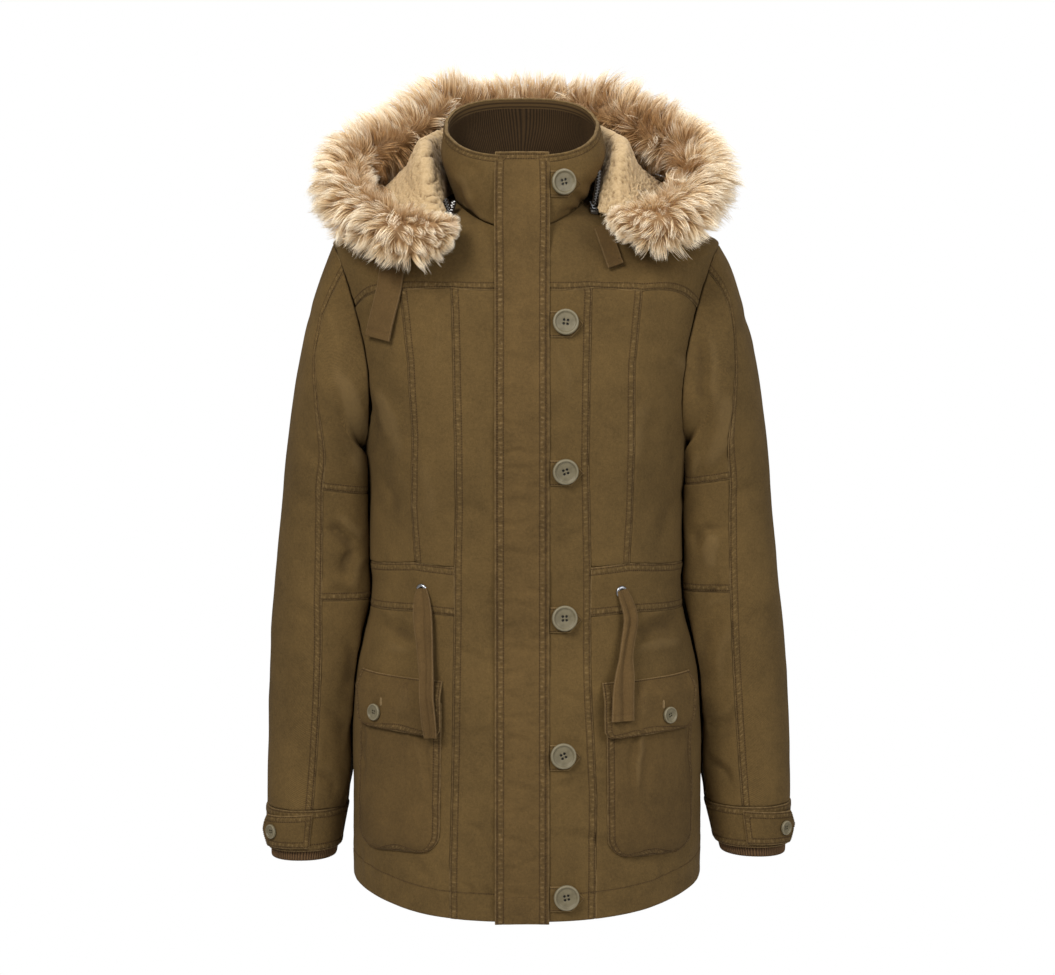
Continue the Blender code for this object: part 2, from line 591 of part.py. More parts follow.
def make_back():
    """One piece from side seam to side seam, up round the armholes to the shoulder line and neck."""
    seam = np.concatenate([
        np.linspace(HEM, WAIST_LOW, SKIRT_ROWS + 1),
        np.linspace(WAIST_LOW, WAIST_TOP, CASING_ROWS + 1)[1:],
        np.linspace(WAIST_TOP, UNDERARM, SIDE_ROWS + 1)[1:],
    ])
    arm_angles, arm_levels = armhole(1, np.arange(180 + ARM_STEP, 361, ARM_STEP))
    shoulder = np.linspace(SHOULDER, NECK, SHOULDER_ROWS + 1)[1:]
    levels = np.concatenate([seam, arm_levels, shoulder])
    starts = np.concatenate([np.full(seam.shape, 90.0), arm_angles, np.full(shoulder.shape, 90.0)])
    share = np.linspace(0, 1, BACK_COLUMNS + 1)[None, :]
    angles = starts[:, None] * (1 - share) + (360 - starts[:, None]) * share
    panel("back", angles, np.broadcast_to(levels[:, None], angles.shape))


# ---- clearing one soft form from another ----

def skin_of(grids):
    """A search tree over fine grids of points, each with its own joined columns or not."""
    points, faces = [], []
    for grid in grids:
        rows, columns = grid.shape[:2]
        base = len(points)
        points.extend(Vector(p) for p in grid.reshape(-1, 3))
        for i in range(rows - 1):
            for j in range(columns - 1):
                a = base + i * columns + j
                faces.append((a, a + 1, a + columns + 1, a + columns))
    return BVHTree.FromPolygons(points, faces)


def body_skin():
    angles = np.linspace(-180, 180, 73)
    levels = np.linspace(0, NECK, 61)
    return body_point(*np.meshgrid(angles, levels))[0]


def push_clear(points, tree, clear):
    """Moves each point that is nearer than clear to a skin, or under it, out along its normal."""
    flat = points.reshape(-1, 3).copy()
    for n, place in enumerate(flat):
        near, normal, _, _ = tree.find_nearest(Vector(place))
        offset = Vector(place) - near
        height = offset.dot(normal)
        if height < clear and offset.length < 60 * MM:
            flat[n] = near + normal * clear
    return flat.reshape(points.shape)


# ---- sleeves ----

def sleeve_ring(side, number, degrees):
    """Points of one sleeve ring in metres; 0 is the outer edge, 90 the front, 180 the inside."""
    sign = -1 if side == "r" else 1
    out_x, out_z, in_x, in_z, y, half_depth, _ = SLEEVE[side][number]
    return edge_ring(sign, (out_x, out_z, in_x, in_z), y, half_depth, degrees)


def edge_ring(sign, edges, y, half_depth, degrees, grow=0.0, power=SLEEVE_POWER):
    """A ring between an outer and an inner edge point, grown outwards by some millimetres."""
    out_x, out_z, in_x, in_z = edges
    centre = np.array([(out_x + in_x) / 2, 0, (out_z + in_z) / 2])
    half = np.array([(out_x - in_x) / 2, 0, (out_z - in_z) / 2])
    half *= 1 + grow / np.linalg.norm(half)
    radians = np.radians(degrees)
    curve = 2.0 / power
    cosine = np.sign(np.cos(radians)) * np.abs(np.cos(radians))**curve
    sine = np.sign(np.sin(radians)) * np.abs(np.sin(radians))**curve
    points = centre + half * cosine[:, None] + np.array([0, -1, 0]) * (half_depth + grow) * sine[:, None]
    points[:, 1] += y
    points[:, 0] *= sign
    return points * MM


def sleeve_degrees(side, number):
    """Where a ring's points lie: from the front seam to the inside, then back over the outside."""
    seam = SLEEVE[side][number][6]
    front = np.linspace(seam, 180, SLEEVE_FRONT_COLUMNS + 1)
    back = np.linspace(-180, seam, SLEEVE_BACK_COLUMNS + 1)
    return np.concatenate([front, back[1:-1]])


def sleeve_grid(side):
    """All points of a sleeve, armhole row first, each row a closed ring."""
    sign = -1 if side == "r" else 1
    rows = []
    for number in range(len(SLEEVE[side])):
        degrees = sleeve_degrees(side, number)
        ring = sleeve_ring(side, number, degrees)
        if number < len(ARMHOLE_BLEND):
            first = np.concatenate([np.arange(SLEEVE_SEAM_START, 181, ARM_STEP),
                                    np.arange(-180 + ARM_STEP, SLEEVE_SEAM_START, ARM_STEP)])
            seam_points, _ = body_point(*armhole(sign, first))
            ring += (seam_points - sleeve_ring(side, 0, first)) * ARMHOLE_BLEND[number]
        rows.append(ring)
    grid = np.stack(rows)
    grid[0, :, 0] += sign * 2 * SEAM_GAP
    grid = fold_sleeve(side, grid)
    grid[1:] = push_clear(grid[1:], skin_of([body_skin()]), SLEEVE_CLEAR)
    return grid


def grid_normals(grid):
    """Outward normals of a grid of closed rings."""
    round_it = np.roll(grid, -1, axis=1) - np.roll(grid, 1, axis=1)
    along = np.gradient(grid, axis=0)
    normals = unit(np.cross(round_it, along))
    outward = np.sum(normals * (grid - grid.mean(axis=1, keepdims=True)), axis=-1)
    return normals if outward.mean() > 0 else -normals


def fold_sleeve(side, grid):
    normals = grid_normals(grid)
    numbers = np.arange(len(grid))[:, None]
    degrees = np.stack([sleeve_degrees(side, n) for n in range(len(grid))])
    for fold_side, ring, at, half_length, half_width, deep in SLEEVE_FOLDS:
        if fold_side == side:
            bump = np.exp(-((numbers - ring) / half_length)**2 - ((degrees - at) / half_width)**2)
            grid = grid - normals * (deep * MM * bump)[..., None]
    return grid


def make_sleeve(side):
    grid = sleeve_grid(side)
    normals = grid_normals(grid)
    inner = grid - normals * WALL
    closed_outer = np.concatenate([grid, grid[:, :1]], axis=1)
    closed_inner = np.concatenate([inner, inner[:, :1]], axis=1)
    front = slice(0, SLEEVE_FRONT_COLUMNS + 1)
    cuts = {
        "sleeve_upper": (slice(0, ELBOW_TOP + 1), front),
        "elbow_panel": (slice(ELBOW_TOP, ELBOW_LOW + 1), front),
        "sleeve_lower": (slice(ELBOW_LOW, None), front),
        "sleeve_back": (slice(0, None), slice(SLEEVE_FRONT_COLUMNS, None)),
    }
    for name, cut in cuts.items():
        grid_solid(f"{name}_{side}", "canvas", inset(closed_outer[cut]), inset(closed_inner[cut]))
    return closed_outer


def cuff_ring(side, drop, grow, degrees):
    """A ring of the cuff, drop millimetres below the sleeve's end."""
    sign = -1 if side == "r" else 1
    out_x, out_z, in_x, in_z, y, half_depth, _ = SLEEVE[side][CUFF_SEAM]
    low = CUFF[side]
    share = drop / (out_z - low[1])
    edges = [top * (1 - share) + bottom * share for top, bottom in zip((out_x, out_z, in_x, in_z), low)]
    return edge_ring(sign, edges, y * (1 - share), half_depth * (1 - share) + CUFF_HALF_DEPTH * share,
                     degrees, grow)


def make_cuff(side):
    degrees = sleeve_degrees(side, CUFF_SEAM)
    drops = (CUFF_GAP, CUFF_BAND / 2, CUFF_BAND)
    outer = np.stack([cuff_ring(side, drop, CUFF_RAISE, degrees) for drop in drops])
    inner = outer - grid_normals(outer) * CUFF_WALL
    grid_solid(f"cuff_band_{side}", "canvas", outer, inner, closed=True)
    ribs = np.linspace(0, 360, 2 * CUFF_RIBS, endpoint=False)
    raised = np.where(np.arange(2 * CUFF_RIBS) % 2 == 0, 0.0, -RIB_RAISE / MM)
    tuck = CUFF_RAISE - CUFF_WALL / MM - RIB_CLEAR
    rib_drops = (CUFF_BAND - RIB_TUCK, CUFF_BAND + RIB_DROP)
    rib_outer = np.stack([ribbed_ring(side, drop, tuck, raised, ribs) for drop in rib_drops])
    plain = ribs[::CUFF_RIB_GROUP]
    rib_inner = np.stack([cuff_ring(side, drop, tuck - RIB_WALL / MM, plain) for drop in rib_drops])
    ribbed_solid(f"rib_cuff_{side}", "rib_knit", rib_outer, rib_inner, closed=True)
    make_cuff_tab(side)


def ribbed_ring(side, drop, grow, raised, degrees):
    plain = cuff_ring(side, drop, grow, degrees)
    deeper = cuff_ring(side, drop, grow - 1.0, degrees)
    return plain + (plain - deeper) * raised[:, None]


def make_cuff_tab(side):
    """A pointed strap round the outside of the cuff, with its button."""
    degrees = np.linspace(TAB_FROM, TAB_TO, 9)
    half = np.interp(degrees, TAB_KEYS, TAB_HALF)
    lift = np.interp(degrees, TAB_KEYS, TAB_LIFT)
    middle = CUFF_BAND * np.interp(degrees, TAB_KEYS, TAB_MIDDLE)
    rows = []
    for share in (-1, 0, 1):
        rows.append(np.stack([
            cuff_ring(side, m + share * h, CUFF_RAISE + up, np.array([d]))[0]
            for m, d, h, up in zip(middle, degrees, half, lift)
        ]))
    inner = np.stack(rows)
    outward = unit(np.cross(np.gradient(inner, axis=1), np.gradient(inner, axis=0)))
    centre = cuff_ring(side, CUFF_BAND / 2, 0, np.arange(0, 360, 30.0)).mean(axis=0)
    if np.sum(outward[1, 4] * (inner[1, 4] - centre)) < 0:
        outward = -outward
    outer = inner + outward * TAB_WALL
    grid_solid(f"cuff_tab_{side}", "canvas", outer, inner)
    place = outer[1, 5]
    make_button(f"cuff_button_{side}", CUFF_BUTTON, place, outward[1, 5])


# ---- collar ----

def collar_point(angle, level):
    return ring_point(COLLAR_RINGS, angle, level) * MM, ring_normal(COLLAR_RINGS, angle, level)


def collar_ends():
    """Angles round the collar from one side of the centre line to the other."""
    start = front_angle(np.array([CENTRE_X]), np.array([float(NECK)]))[0]
    return start + COLLAR_SLIT, start + 360 - COLLAR_SLIT


def collar_grid():
    """The collar's outside, with the facets that its solid has."""
    start, end = collar_ends()
    angles = np.linspace(start, end, COLLAR_COLUMNS + 1)
    levels = np.linspace(0, 3, COLLAR_ROWS + 1)
    return collar_point(*np.meshgrid(angles, levels))


def make_collar():
    points, normals = collar_grid()
    grid_solid("collar", "canvas", points, points - normals * COLLAR_WALL)
    make_collar_lining(*collar_ends())


def make_collar_lining(start, end):
    """Rib knit inside the collar; the ribs stand on the side that shows."""
    columns = 2 * COLLAR_RIBS
    angles = np.linspace(start, end, columns + 1)
    levels = np.array([0.35, 1.0, 2.0, 2.93])
    points, normals = collar_point(*np.meshgrid(angles, levels))
    behind = points - normals * (COLLAR_WALL + COLLAR_LINING_GAP)
    ribs = np.where(np.arange(columns + 1) % 2 == 0, 0.0, RIB_RAISE)
    shown = behind - normals * (RIB_WALL - RIB_RAISE + ribs[None, :, None])
    ribbed_solid("collar_lining", "rib_knit", shown, behind[:, ::COLLAR_RIB_GROUP])


# ---- what lies on the front ----

def front_skin():
    """A search tree over the body and the collar, for laying things on them."""
    return skin_of([body_skin(), collar_grid()[0]])


def drape(tree, x, z):
    """Points on the skin at (x, z) in millimetres, seen from the front, with smooth normals."""
    x, z = np.broadcast_arrays(np.asarray(x, dtype=float), np.asarray(z, dtype=float))
    ahead = np.array([drape_y(tree, a, b) for a, b in zip(x.ravel(), z.ravel())]).reshape(x.shape)
    step = DRAPE_STEP
    beside = np.array([[drape_y(tree, a + step, b), drape_y(tree, a - step, b),
                        drape_y(tree, a, b + step), drape_y(tree, a, b - step)]
                       for a, b in zip(x.ravel(), z.ravel())]).reshape(x.shape + (4,))
    slope_x = (beside[..., 0] - beside[..., 1]) / (2 * step)
    slope_z = (beside[..., 2] - beside[..., 3]) / (2 * step)
    normals = unit(np.stack([slope_x, -np.ones(x.shape), slope_z], axis=-1))
    return np.stack([x, ahead, z], axis=-1) * MM, normals


def drape_y(tree, x, z):
    start = Vector((x * MM, -0.6, z * MM))
    hit = tree.ray_cast(start, Vector((0, 1, 0)))[0]
    if hit is None:
        hit = tree.find_nearest(Vector((x * MM, -0.02, z * MM)))[0]
    return hit.y / MM


def lay_gap(z):
    """The gap under what is sewn on at these heights."""
    return LAY_GAP + COLLAR_LAY * np.clip((np.asarray(z, dtype=float) + 30.0) / 15.0, 0, 1)


def smooth_columns(values, rounds):
    """Evens a grid down its rows, keeping the ends."""
    for _ in range(rounds):
        values = values.copy()
        values[1:-1] = (values[:-2] + 2 * values[1:-1] + values[2:]) / 4
    return values


def make_placket(tree):
    """The fly from hem to collar rim, over both fronts and the collar."""
    heights = np.linspace(PLACKET["bottom"], PLACKET["top"], PLACKET["rows"] + 1)
    x = np.linspace(PLACKET["left"], PLACKET["right"], 5)
    places, normals = drape(tree, *np.meshgrid(x, heights))
    forward = smooth_columns(places[..., 1], 3)
    places[..., 1] = np.minimum(places[..., 1], forward)
    normals = unit(smooth_columns(normals, 3))
    inner = places + normals * lay_gap(heights)[:, None, None]
    outer = inner + normals * PLACKET["wall"]
    grid_solid("placket", "canvas", outer, inner)


def make_button_tabs(tree):
    wall = BUTTON_TAB["wall"]
    for number, (x, z) in enumerate(BUTTON_PLACES, start=1):
        across = np.array([BUTTON_TAB["start"], 31.0, 38.0, BUTTON_TAB["shoulder"], 51.0, BUTTON_TAB["tip"]])
        across[-3:] += x - BUTTON_PLACES[2][0]
        half = np.array([1.0, 1.0, 1.0, 1.0, 0.55, 0.08])
        centre = z + (BUTTON_TAB["above"] - BUTTON_TAB["below"]) / 2
        reach = (BUTTON_TAB["above"] + BUTTON_TAB["below"]) / 2
        grid_x = np.broadcast_to(across, (3, len(across)))
        grid_z = centre + np.array([-1, 0, 1])[:, None] * reach * half
        places, normals = drape(tree, grid_x, grid_z)
        inner = places + normals * lay_gap(grid_z)[..., None]
        outer = inner + normals * wall
        grid_solid(f"button_tab_{number}", "canvas", outer, inner)
        spot, normal = drape(tree, np.array([x]), np.array([z]))
        base = spot[0] + normal[0] * (lay_gap(z) + wall + BUTTON_LIFT)
        make_button(f"front_button_{number}", BUTTON, base, normal[0])


def make_button(name, kind, place, normal):
    """A turned button with four thread holes, standing on its place along its normal."""
    radius, height = kind["radius"] * MM, kind["height"] * MM
    mesh = bpy.data.meshes.new(name)
    profile = [(share * radius, 0.0, rise * height) for share, rise in BUTTON_PROFILE]
    mesh.from_pydata(profile, [(i, i + 1) for i in range(len(profile) - 1)], [])
    mesh.materials.append(materials["button"])
    thing = bpy.data.objects.new(name, mesh)
    coat.objects.link(thing)
    turn = thing.modifiers.new("turn", "SCREW")
    turn.steps = turn.render_steps = BUTTON_STEPS if kind["hole"] else SMALL_BUTTON_STEPS
    turn.use_merge_vertices = True
    turn.merge_threshold = 0.0001
    turn.use_normal_calculate = True
    parts = [thing]
    if kind["hole"]:
        cut = thing.modifiers.new("thread_holes", "BOOLEAN")
        cut.operation = "DIFFERENCE"
        cut.solver = "EXACT"
        cut.object = hole_cutter(name, kind)
        parts.append(cut.object)
    for part in parts:
        part.rotation_mode = "QUATERNION"
        part.rotation_quaternion = Vector(normal).to_track_quat("Z", "Y")
        part.location = Vector(place) + Vector(normal) * BUTTON_LIFT


def hole_cutter(name, kind):
    shape = bmesh.new()
    for quarter in range(4):
        around = math.radians(HOLE_TURN + 90 * quarter)
        shift = Vector((math.cos(around), math.sin(around), 0)) * kind["spread"] * MM
        place = Matrix.Translation(shift) @ Matrix.Rotation(HOLE_SKEW, 4, "Z")
        bmesh.ops.create_cone(shape, cap_ends=True, segments=HOLE_STEPS, radius1=kind["hole"] * MM,
                              radius2=kind["hole"] * MM, depth=4 * kind["height"] * MM, matrix=place)
    mesh = bpy.data.meshes.new(f"cutter_{name}")
    shape.to_mesh(mesh)
    shape.free()
    cutter = bpy.data.objects.new(f"cutter_{name}", mesh)
    cutters.objects.link(cutter)
    cutter.hide_render = True
    cutter.display_type = "WIRE"
    return cutter


def round_inset(drop, radius):
    """How far a rounded corner pulls the side in at a height above the lower edge."""
    rest = np.clip(radius - drop, 0, radius)
    return radius - np.sqrt(radius**2 - rest**2)


def corner_grid(corners, sign, shares, heights, radius):
    """(x, z) of a four-cornered piece with its lower corners rounded."""
    top_in, top_out = np.array(corners["top_in"]), np.array(corners["top_out"])
    low_in, low_out = np.array(corners["low_in"]), np.array(corners["low_out"])
    x, z = [], []
    for height in heights:
        start = low_in * (1 - height) + top_in * height
        end = low_out * (1 - height) + top_out * height
        drop = height * np.linalg.norm(top_in - low_in)
        pull = round_inset(drop, radius) / np.linalg.norm(end - start)
        along = pull + shares * (1 - 2 * pull)
        row = start + (end - start) * along[:, None]
        x.append(sign * row[:, 0])
        z.append(row[:, 1])
    return np.array(x), np.array(z)


def round_heights(corners, radius, others):
    """Heights of the rows, close together round the lower corners."""
    tall = abs(corners["top_in"][1] - corners["low_in"][1])
    return np.concatenate([np.array([0.0, 0.12, 0.4, 1.0]) * radius / tall, others])


def make_pocket(side, tree):
    sign = -1 if side == "r" else 1
    corners = POCKET[side]
    pleats = POCKET_PLEATS[side]
    shares = np.array([0, 0.06, 0.18, 0.31, 0.36, 0.41, 0.55, 0.72, 0.85, 0.9, 0.95, 1.0])
    heights = round_heights(corners, POCKET_ROUND, np.array([0.36, 0.6, 0.8, 1.0]))
    x, z = corner_grid(corners, sign, shares, heights, POCKET_ROUND)
    edge = np.minimum(np.minimum(shares, 1 - shares)[None, :] * 88, heights[:, None] * 150)
    rise = POCKET_RISE * (1 - np.exp(-edge / POCKET_EDGE))
    opening = np.clip(heights[:, None] * 2.2 - 0.7, 0, 1)  # the pleats open towards the top
    for pleat in pleats:
        rise = rise + PLEAT_RISE * np.exp(-((shares[None, :] - pleat) / PLEAT_SHARE)**2) * opening
    places, normals = drape(tree, x, z)
    inner = places + normals * (LAY_GAP + rise * MM)[..., None]
    outer = inner + normals * POCKET_WALL
    grid_solid(f"pocket_{side}", "canvas", outer, inner)


def make_flap(side, tree):
    sign = -1 if side == "r" else 1
    corners = FLAP[side]
    shares = np.array([0, 0.17, 0.34, 0.5, 0.64, 0.76, 0.86, 0.94, 1.0])
    heights = round_heights(corners, FLAP_ROUND, np.array([0.5, 0.75, 1.0]))
    x, z = corner_grid(corners, sign, shares, heights, FLAP_ROUND)
    rise = FLAP_RISE * np.clip(FLAP_SLOPE * (1 - heights**1.8), 0, 1)
    places, normals = drape(tree, x, z)
    inner = places + normals * (LAY_GAP + rise[:, None, None] * MM)
    outer = inner + normals * FLAP_WALL
    grid_solid(f"pocket_flap_{side}", "canvas", outer, inner)
    spot, normal = drape(tree, np.array([sign * FLAP_BUTTON[side][0]]), np.array([FLAP_BUTTON[side][1]]))
    base = spot[0] + normal[0] * (LAY_GAP + FLAP_RISE * MM + FLAP_WALL + BUTTON_LIFT)
    make_button(f"flap_button_{side}", SMALL_BUTTON, base, normal[0])


def ribbon(name, slot, tree, route, widths, lifts, wall, stations):
    """A flat strip laid over the cloth along a route of (x, z) points."""
    route = np.asarray(route, dtype=float)
    keys = np.arange(len(route))
    at = np.linspace(0, len(route) - 1, stations)
    line = read_rows(keys, route, at)
    width = read_rows(keys, np.asarray(widths, dtype=float)[:, None], at)[:, 0]
    lift = read_rows(keys, np.asarray(lifts, dtype=float)[:, None], at)[:, 0]
    along = unit(np.gradient(line, axis=0))
    across = np.stack([along[:, 1], -along[:, 0]], axis=-1)
    shares = np.array([-0.5, 0.0, 0.5])
    grid = line[:, None] + across[:, None] * (width[:, None] * shares)[..., None]
    places, normals = drape(tree, grid[..., 0], grid[..., 1])
    normals = np.broadcast_to(normals[:, 1:2], normals.shape)
    middle = places[:, 1:2]
    flat = places - normals * np.sum((places - middle) * normals, axis=-1, keepdims=True)
    base = (1 - RIBBON_FOLLOW) * flat + RIBBON_FOLLOW * places
    inner = base + normals * (LAY_GAP + lift[:, None, None] * MM)
    grid_solid(name, slot, inner + normals * wall, inner)
    return inner + normals * wall


def make_drawstring(side, tree):
    rows = np.array(DRAWSTRING[side])
    ribbon(f"drawstring_{side}", "tape", tree, rows[:, :2], rows[:, 3], rows[:, 2], DRAWSTRING_WALL, 12)


def make_hood_tie(side, tree):
    rows = np.array(HOOD_TIE[side], dtype=float)
    widths = np.full(len(rows), HOOD_TIE_WIDTH[side])
    return ribbon(f"hood_tie_{side}", "tape", tree, rows[:, :2], widths, rows[:, 2], HOOD_TIE_WALL, 8)


# ---- hood and fur ----

def fur_line(count):
    """Centres and radii of the fur roll from end to end."""
    keys = np.concatenate([[0], np.cumsum(np.linalg.norm(np.diff(FUR_PATH[:, :3], axis=0), axis=1))])
    return read_rows(keys, FUR_PATH, np.linspace(0, keys[-1], count))


def make_fur(tree):
    """A closed lumpy roll that reaches as far as the hair; returns its search tree."""
    line = fur_line(FUR_STATIONS)
    centres = line[:, :3] * MM
    along = unit(np.gradient(centres, axis=0))
    up = np.array([0.0, 0.0, 1.0])
    side_way = unit(np.cross(along, up))
    third = np.cross(side_way, along)
    radii = line[:, 3] * MM
    end_share = np.minimum(np.arange(FUR_STATIONS), np.arange(FUR_STATIONS)[::-1])
    radii = radii * np.interp(end_share, (0, 1, 2), FUR_TAPER)
    around = np.linspace(0, 2 * np.pi, FUR_SIDES, endpoint=False)
    lumps = np.array([[FUR_LUMP * math.sin(1.7 * i + 2.3 * math.sin(0.9 * j + i)) for j in range(FUR_SIDES)]
                      for i in range(FUR_STATIONS)])
    reach = radii[:, None] * (1 + lumps)
    ring = (side_way[:, None] * np.cos(around)[None, :, None] + third[:, None] * np.sin(around)[None, :, None])
    points = centres[:, None] + ring * reach[..., None]
    points = push_clear(points, tree, FUR_CLEAR)
    middle = slice(FUR_ENDS, -FUR_ENDS)
    points[middle] = push_clear(points[middle], tree, FUR_OVER_HOOD)
    rows = FUR_STATIONS
    faces = []
    for i in range(rows - 1):
        for j in range(FUR_SIDES):
            a, b = i * FUR_SIDES + j, i * FUR_SIDES + (j + 1) % FUR_SIDES
            faces.append((a, b, b + FUR_SIDES, a + FUR_SIDES))
    faces.append(tuple(range(FUR_SIDES)))
    faces.append(tuple((rows - 1) * FUR_SIDES + j for j in range(FUR_SIDES)))
    fur = mesh_object("fur_trim", "fur", points.reshape(-1, 3), faces)
    shape = bmesh.new()
    shape.from_mesh(fur.data)
    fur_tree = BVHTree.FromBMesh(shape)
    shape.free()
    return fur_tree


def ease(values, low, high):
    """0 up to low and 1 from high on, with a soft rise between."""
    share = np.clip((values - low) / (high - low), 0, 1)
    return share * share * (3 - 2 * share)


def rim_line(fur_tree, shares, seam):
    """Where the hood's rim meets the fur: on its neck side at the front, under it behind."""
    line = fur_line(RIM_STEPS)
    steps = np.linspace(0, 1, RIM_STEPS)
    at = RIM_START + (1 - 2 * RIM_START) * shares
    centres = np.stack([np.interp(at, steps, line[:, k]) for k in range(3)], axis=-1) * MM
    neck_way = unit(seam - centres)
    away = unit(centres * np.array([1.0, 1.0, 0.0]))
    up = np.array([0.0, 0.0, 1.0])
    beneath = unit(neck_way * np.array([1.0, 1.0, 0.0]) * 0.65 - up * 0.76)
    under = unit(away * 0.5 - up)
    outside = 90 * MM  # further out than the fur's surface
    end_share = np.minimum(shares, 1 - shares)
    lower = ease(end_share, *RIM_DROP)[:, None]
    tuck = ease(end_share, *RIM_UNDER)[:, None]
    ways = unit((neck_way * (1 - lower) + beneath * lower) * (1 - tuck) + under * tuck)
    rim = []
    for centre, way in zip(centres, ways):
        hit, normal, _, _ = fur_tree.ray_cast(Vector(centre + way * outside), -Vector(way))
        rim.append(hit + normal * RIM_CLEAR)
    return np.array(rim), away


def hood_grid(tree, fur_tree):
    """The laid-back hood: up against the collar, over and down the back, and up to the fur."""
    shares = np.linspace(0, 1, HOOD_COLUMNS + 1)
    angles = HOOD_START + (360 - 2 * HOOD_START) * (1 - shares)
    flat = np.ones(shares.shape)
    full = ease(np.minimum(shares, 1 - shares), 0, FRONT_SHARE)

    def on_body(drop, out):
        places, normals = body_point(angles, flat * (NECK - drop))
        return places + normals * out * MM

    seam = on_body(HOOD_SEAM * full + HOOD_CORNER * (1 - full), 8.0)
    rim, away = rim_line(fur_tree, shares, seam)
    stand = []
    for level, out in HOOD_STAND:
        places, normals = collar_point(angles, flat * level)
        stand.append(places + normals * out * MM)
    bag = [on_body(drop, out) for drop, out in HOOD_BAG]
    for share, bulge in HOOD_RISE:
        bag.append(bag[len(HOOD_BAG) - 1] * (1 - share) + rim * share + away * bulge * MM)
    crest = stand[-1]
    over = np.linspace(0, 1, len(bag) + 2)[1:-1]
    down = np.array([0.0, 0.0, -1.0]) * HOOD_SAG * MM
    side = [crest * (1 - share) + rim * share + down * math.sin(math.pi * share) for share in over]
    behind = ease(np.sin(np.pi * shares), *BEHIND)[:, None]
    shaped = [seam] + stand + [a * (1 - behind) + b * behind for a, b in zip(side, bag)] + [rim]
    straight = [seam * (1 - share) + rim * share for share in np.linspace(0, 1, len(shaped))]
    full = full[:, None]
    grid = np.stack([a * (1 - full) + b * full for a, b in zip(straight, shaped)])
    hanging = len(HOOD_STAND) + 1  # the first row that hangs free
    for _ in range(HOOD_SMOOTHING):
        rows = grid[hanging - 1:]
        around = rows[1:-1, 1:-1] * 4 + rows[:-2, 1:-1] + rows[2:, 1:-1] + rows[1:-1, :-2] + rows[1:-1, 2:]
        grid[hanging:-1, 1:-1] = around / 8
    grid[:-1] = push_clear(grid[:-1], fur_tree, RIM_CLEAR)
    standing = hanging - 2
    grid[:standing] = push_clear(grid[:standing], tree, STAND_CLEAR)
    return push_clear(grid, tree, HOOD_CLEAR)


def open_normals(grid):
    """Normals of an open grid, each the mean of the faces round it."""
    across = np.cross(grid[1:, 1:] - grid[:-1, :-1], grid[1:, :-1] - grid[:-1, 1:])
    faces = np.pad(unit(across), ((1, 1), (1, 1), (0, 0)), mode="edge")
    return unit(faces[1:, 1:] + faces[:-1, 1:] + faces[1:, :-1] + faces[:-1, :-1])


def make_hood(tree, fur_tree):
    grid = hood_grid(tree, fur_tree)
    inward = open_normals(grid)
    if inward[1, HOOD_COLUMNS // 2, 1] > 0:
        inward = -inward
    grid_solid("hood_shell", "canvas", grid, grid + inward * WALL)
    near = grid + inward * (WALL + PILE_GAP)
    grid_solid("hood_lining", "pile", near, near + inward * PILE_WALL)


def make_zip_end(tree):
    """The slider at the hood's front corner and its pull tab, which hangs from a bar."""
    spot, normal = drape(tree, np.array([ZIP_PLACE[0]]), np.array([ZIP_PLACE[1]]))
    normal = Vector(normal[0])
    down = Vector((0.0, -0.6, -0.8))
    down = (down - normal * down.dot(normal)).normalized()
    rotation = Matrix((down.cross(normal), -down, normal)).transposed().to_quaternion()
    width, height, length = ZIP_SLIDER
    base = Vector(spot[0]) + normal * (LAY_GAP + height / 2 * MM)
    box_object("zip_slider", "metal", (width, length, height), base, rotation)
    bar = base + normal * ((height + ZIP_PULL[1]) / 2 * MM + BUTTON_LIFT)
    pull = box_object("zip_pull", "metal", (ZIP_PULL[0], ZIP_PULL[2], ZIP_PULL[1]), bar, rotation)
    for corner in pull.data.vertices:
        corner.co.y -= (ZIP_PULL[2] / 2 - ZIP_BAR) * MM


def box_object(name, slot, size, place, rotation):
    mesh = bpy.data.meshes.new(name)
    shape = bmesh.new()
    bmesh.ops.create_cube(shape, size=1.0)
    bmesh.ops.scale(shape, vec=Vector(size) * MM, verts=shape.verts)
    bmesh.ops.bevel(shape, geom=shape.edges[:], offset=0.3 * MM, segments=1, affect="EDGES")
    shape.to_mesh(mesh)
    shape.free()
    mesh.materials.append(materials[slot])
    thing = bpy.data.objects.new(name, mesh)
    coat.objects.link(thing)
    thing.rotation_mode = "QUATERNION"
    thing.rotation_quaternion = rotation
    thing.location = place
    return thing


def build():
    make_fronts()
    make_back()
    sleeves = [make_sleeve(side) for side in ("r", "l")]
    for side in ("r", "l"):
        make_cuff(side)
    make_collar()
    tree = front_skin()
    make_placket(tree)
    make_button_tabs(tree)
    for side in ("r", "l"):
        make_pocket(side, tree)
        make_flap(side, tree)
        make_drawstring(side, tree)
    ties = [make_hood_tie(side, tree) for side in ("r", "l")]
    make_zip_end(tree)
    around = [body_skin(), collar_grid()[0], sleeves[0][:, ::-1], sleeves[1]]
    fur_tree = make_fur(skin_of(around + ties))
    make_hood(skin_of(around), fur_tree)


clear_scene()
coat = bpy.data.collections.new("fur_trimmed_parka")
bpy.context.scene.collection.children.link(coat)
cutters = bpy.data.collections.new("cutters")
bpy.context.scene.collection.children.link(cutters)
materials = make_materials()
build()
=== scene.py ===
import itertools
import math
from functools import partial

import bmesh
import bpy
import numpy as np
from mathutils import Matrix, Vector
from mathutils.bvhtree import BVHTree
from mathutils.kdtree import KDTree


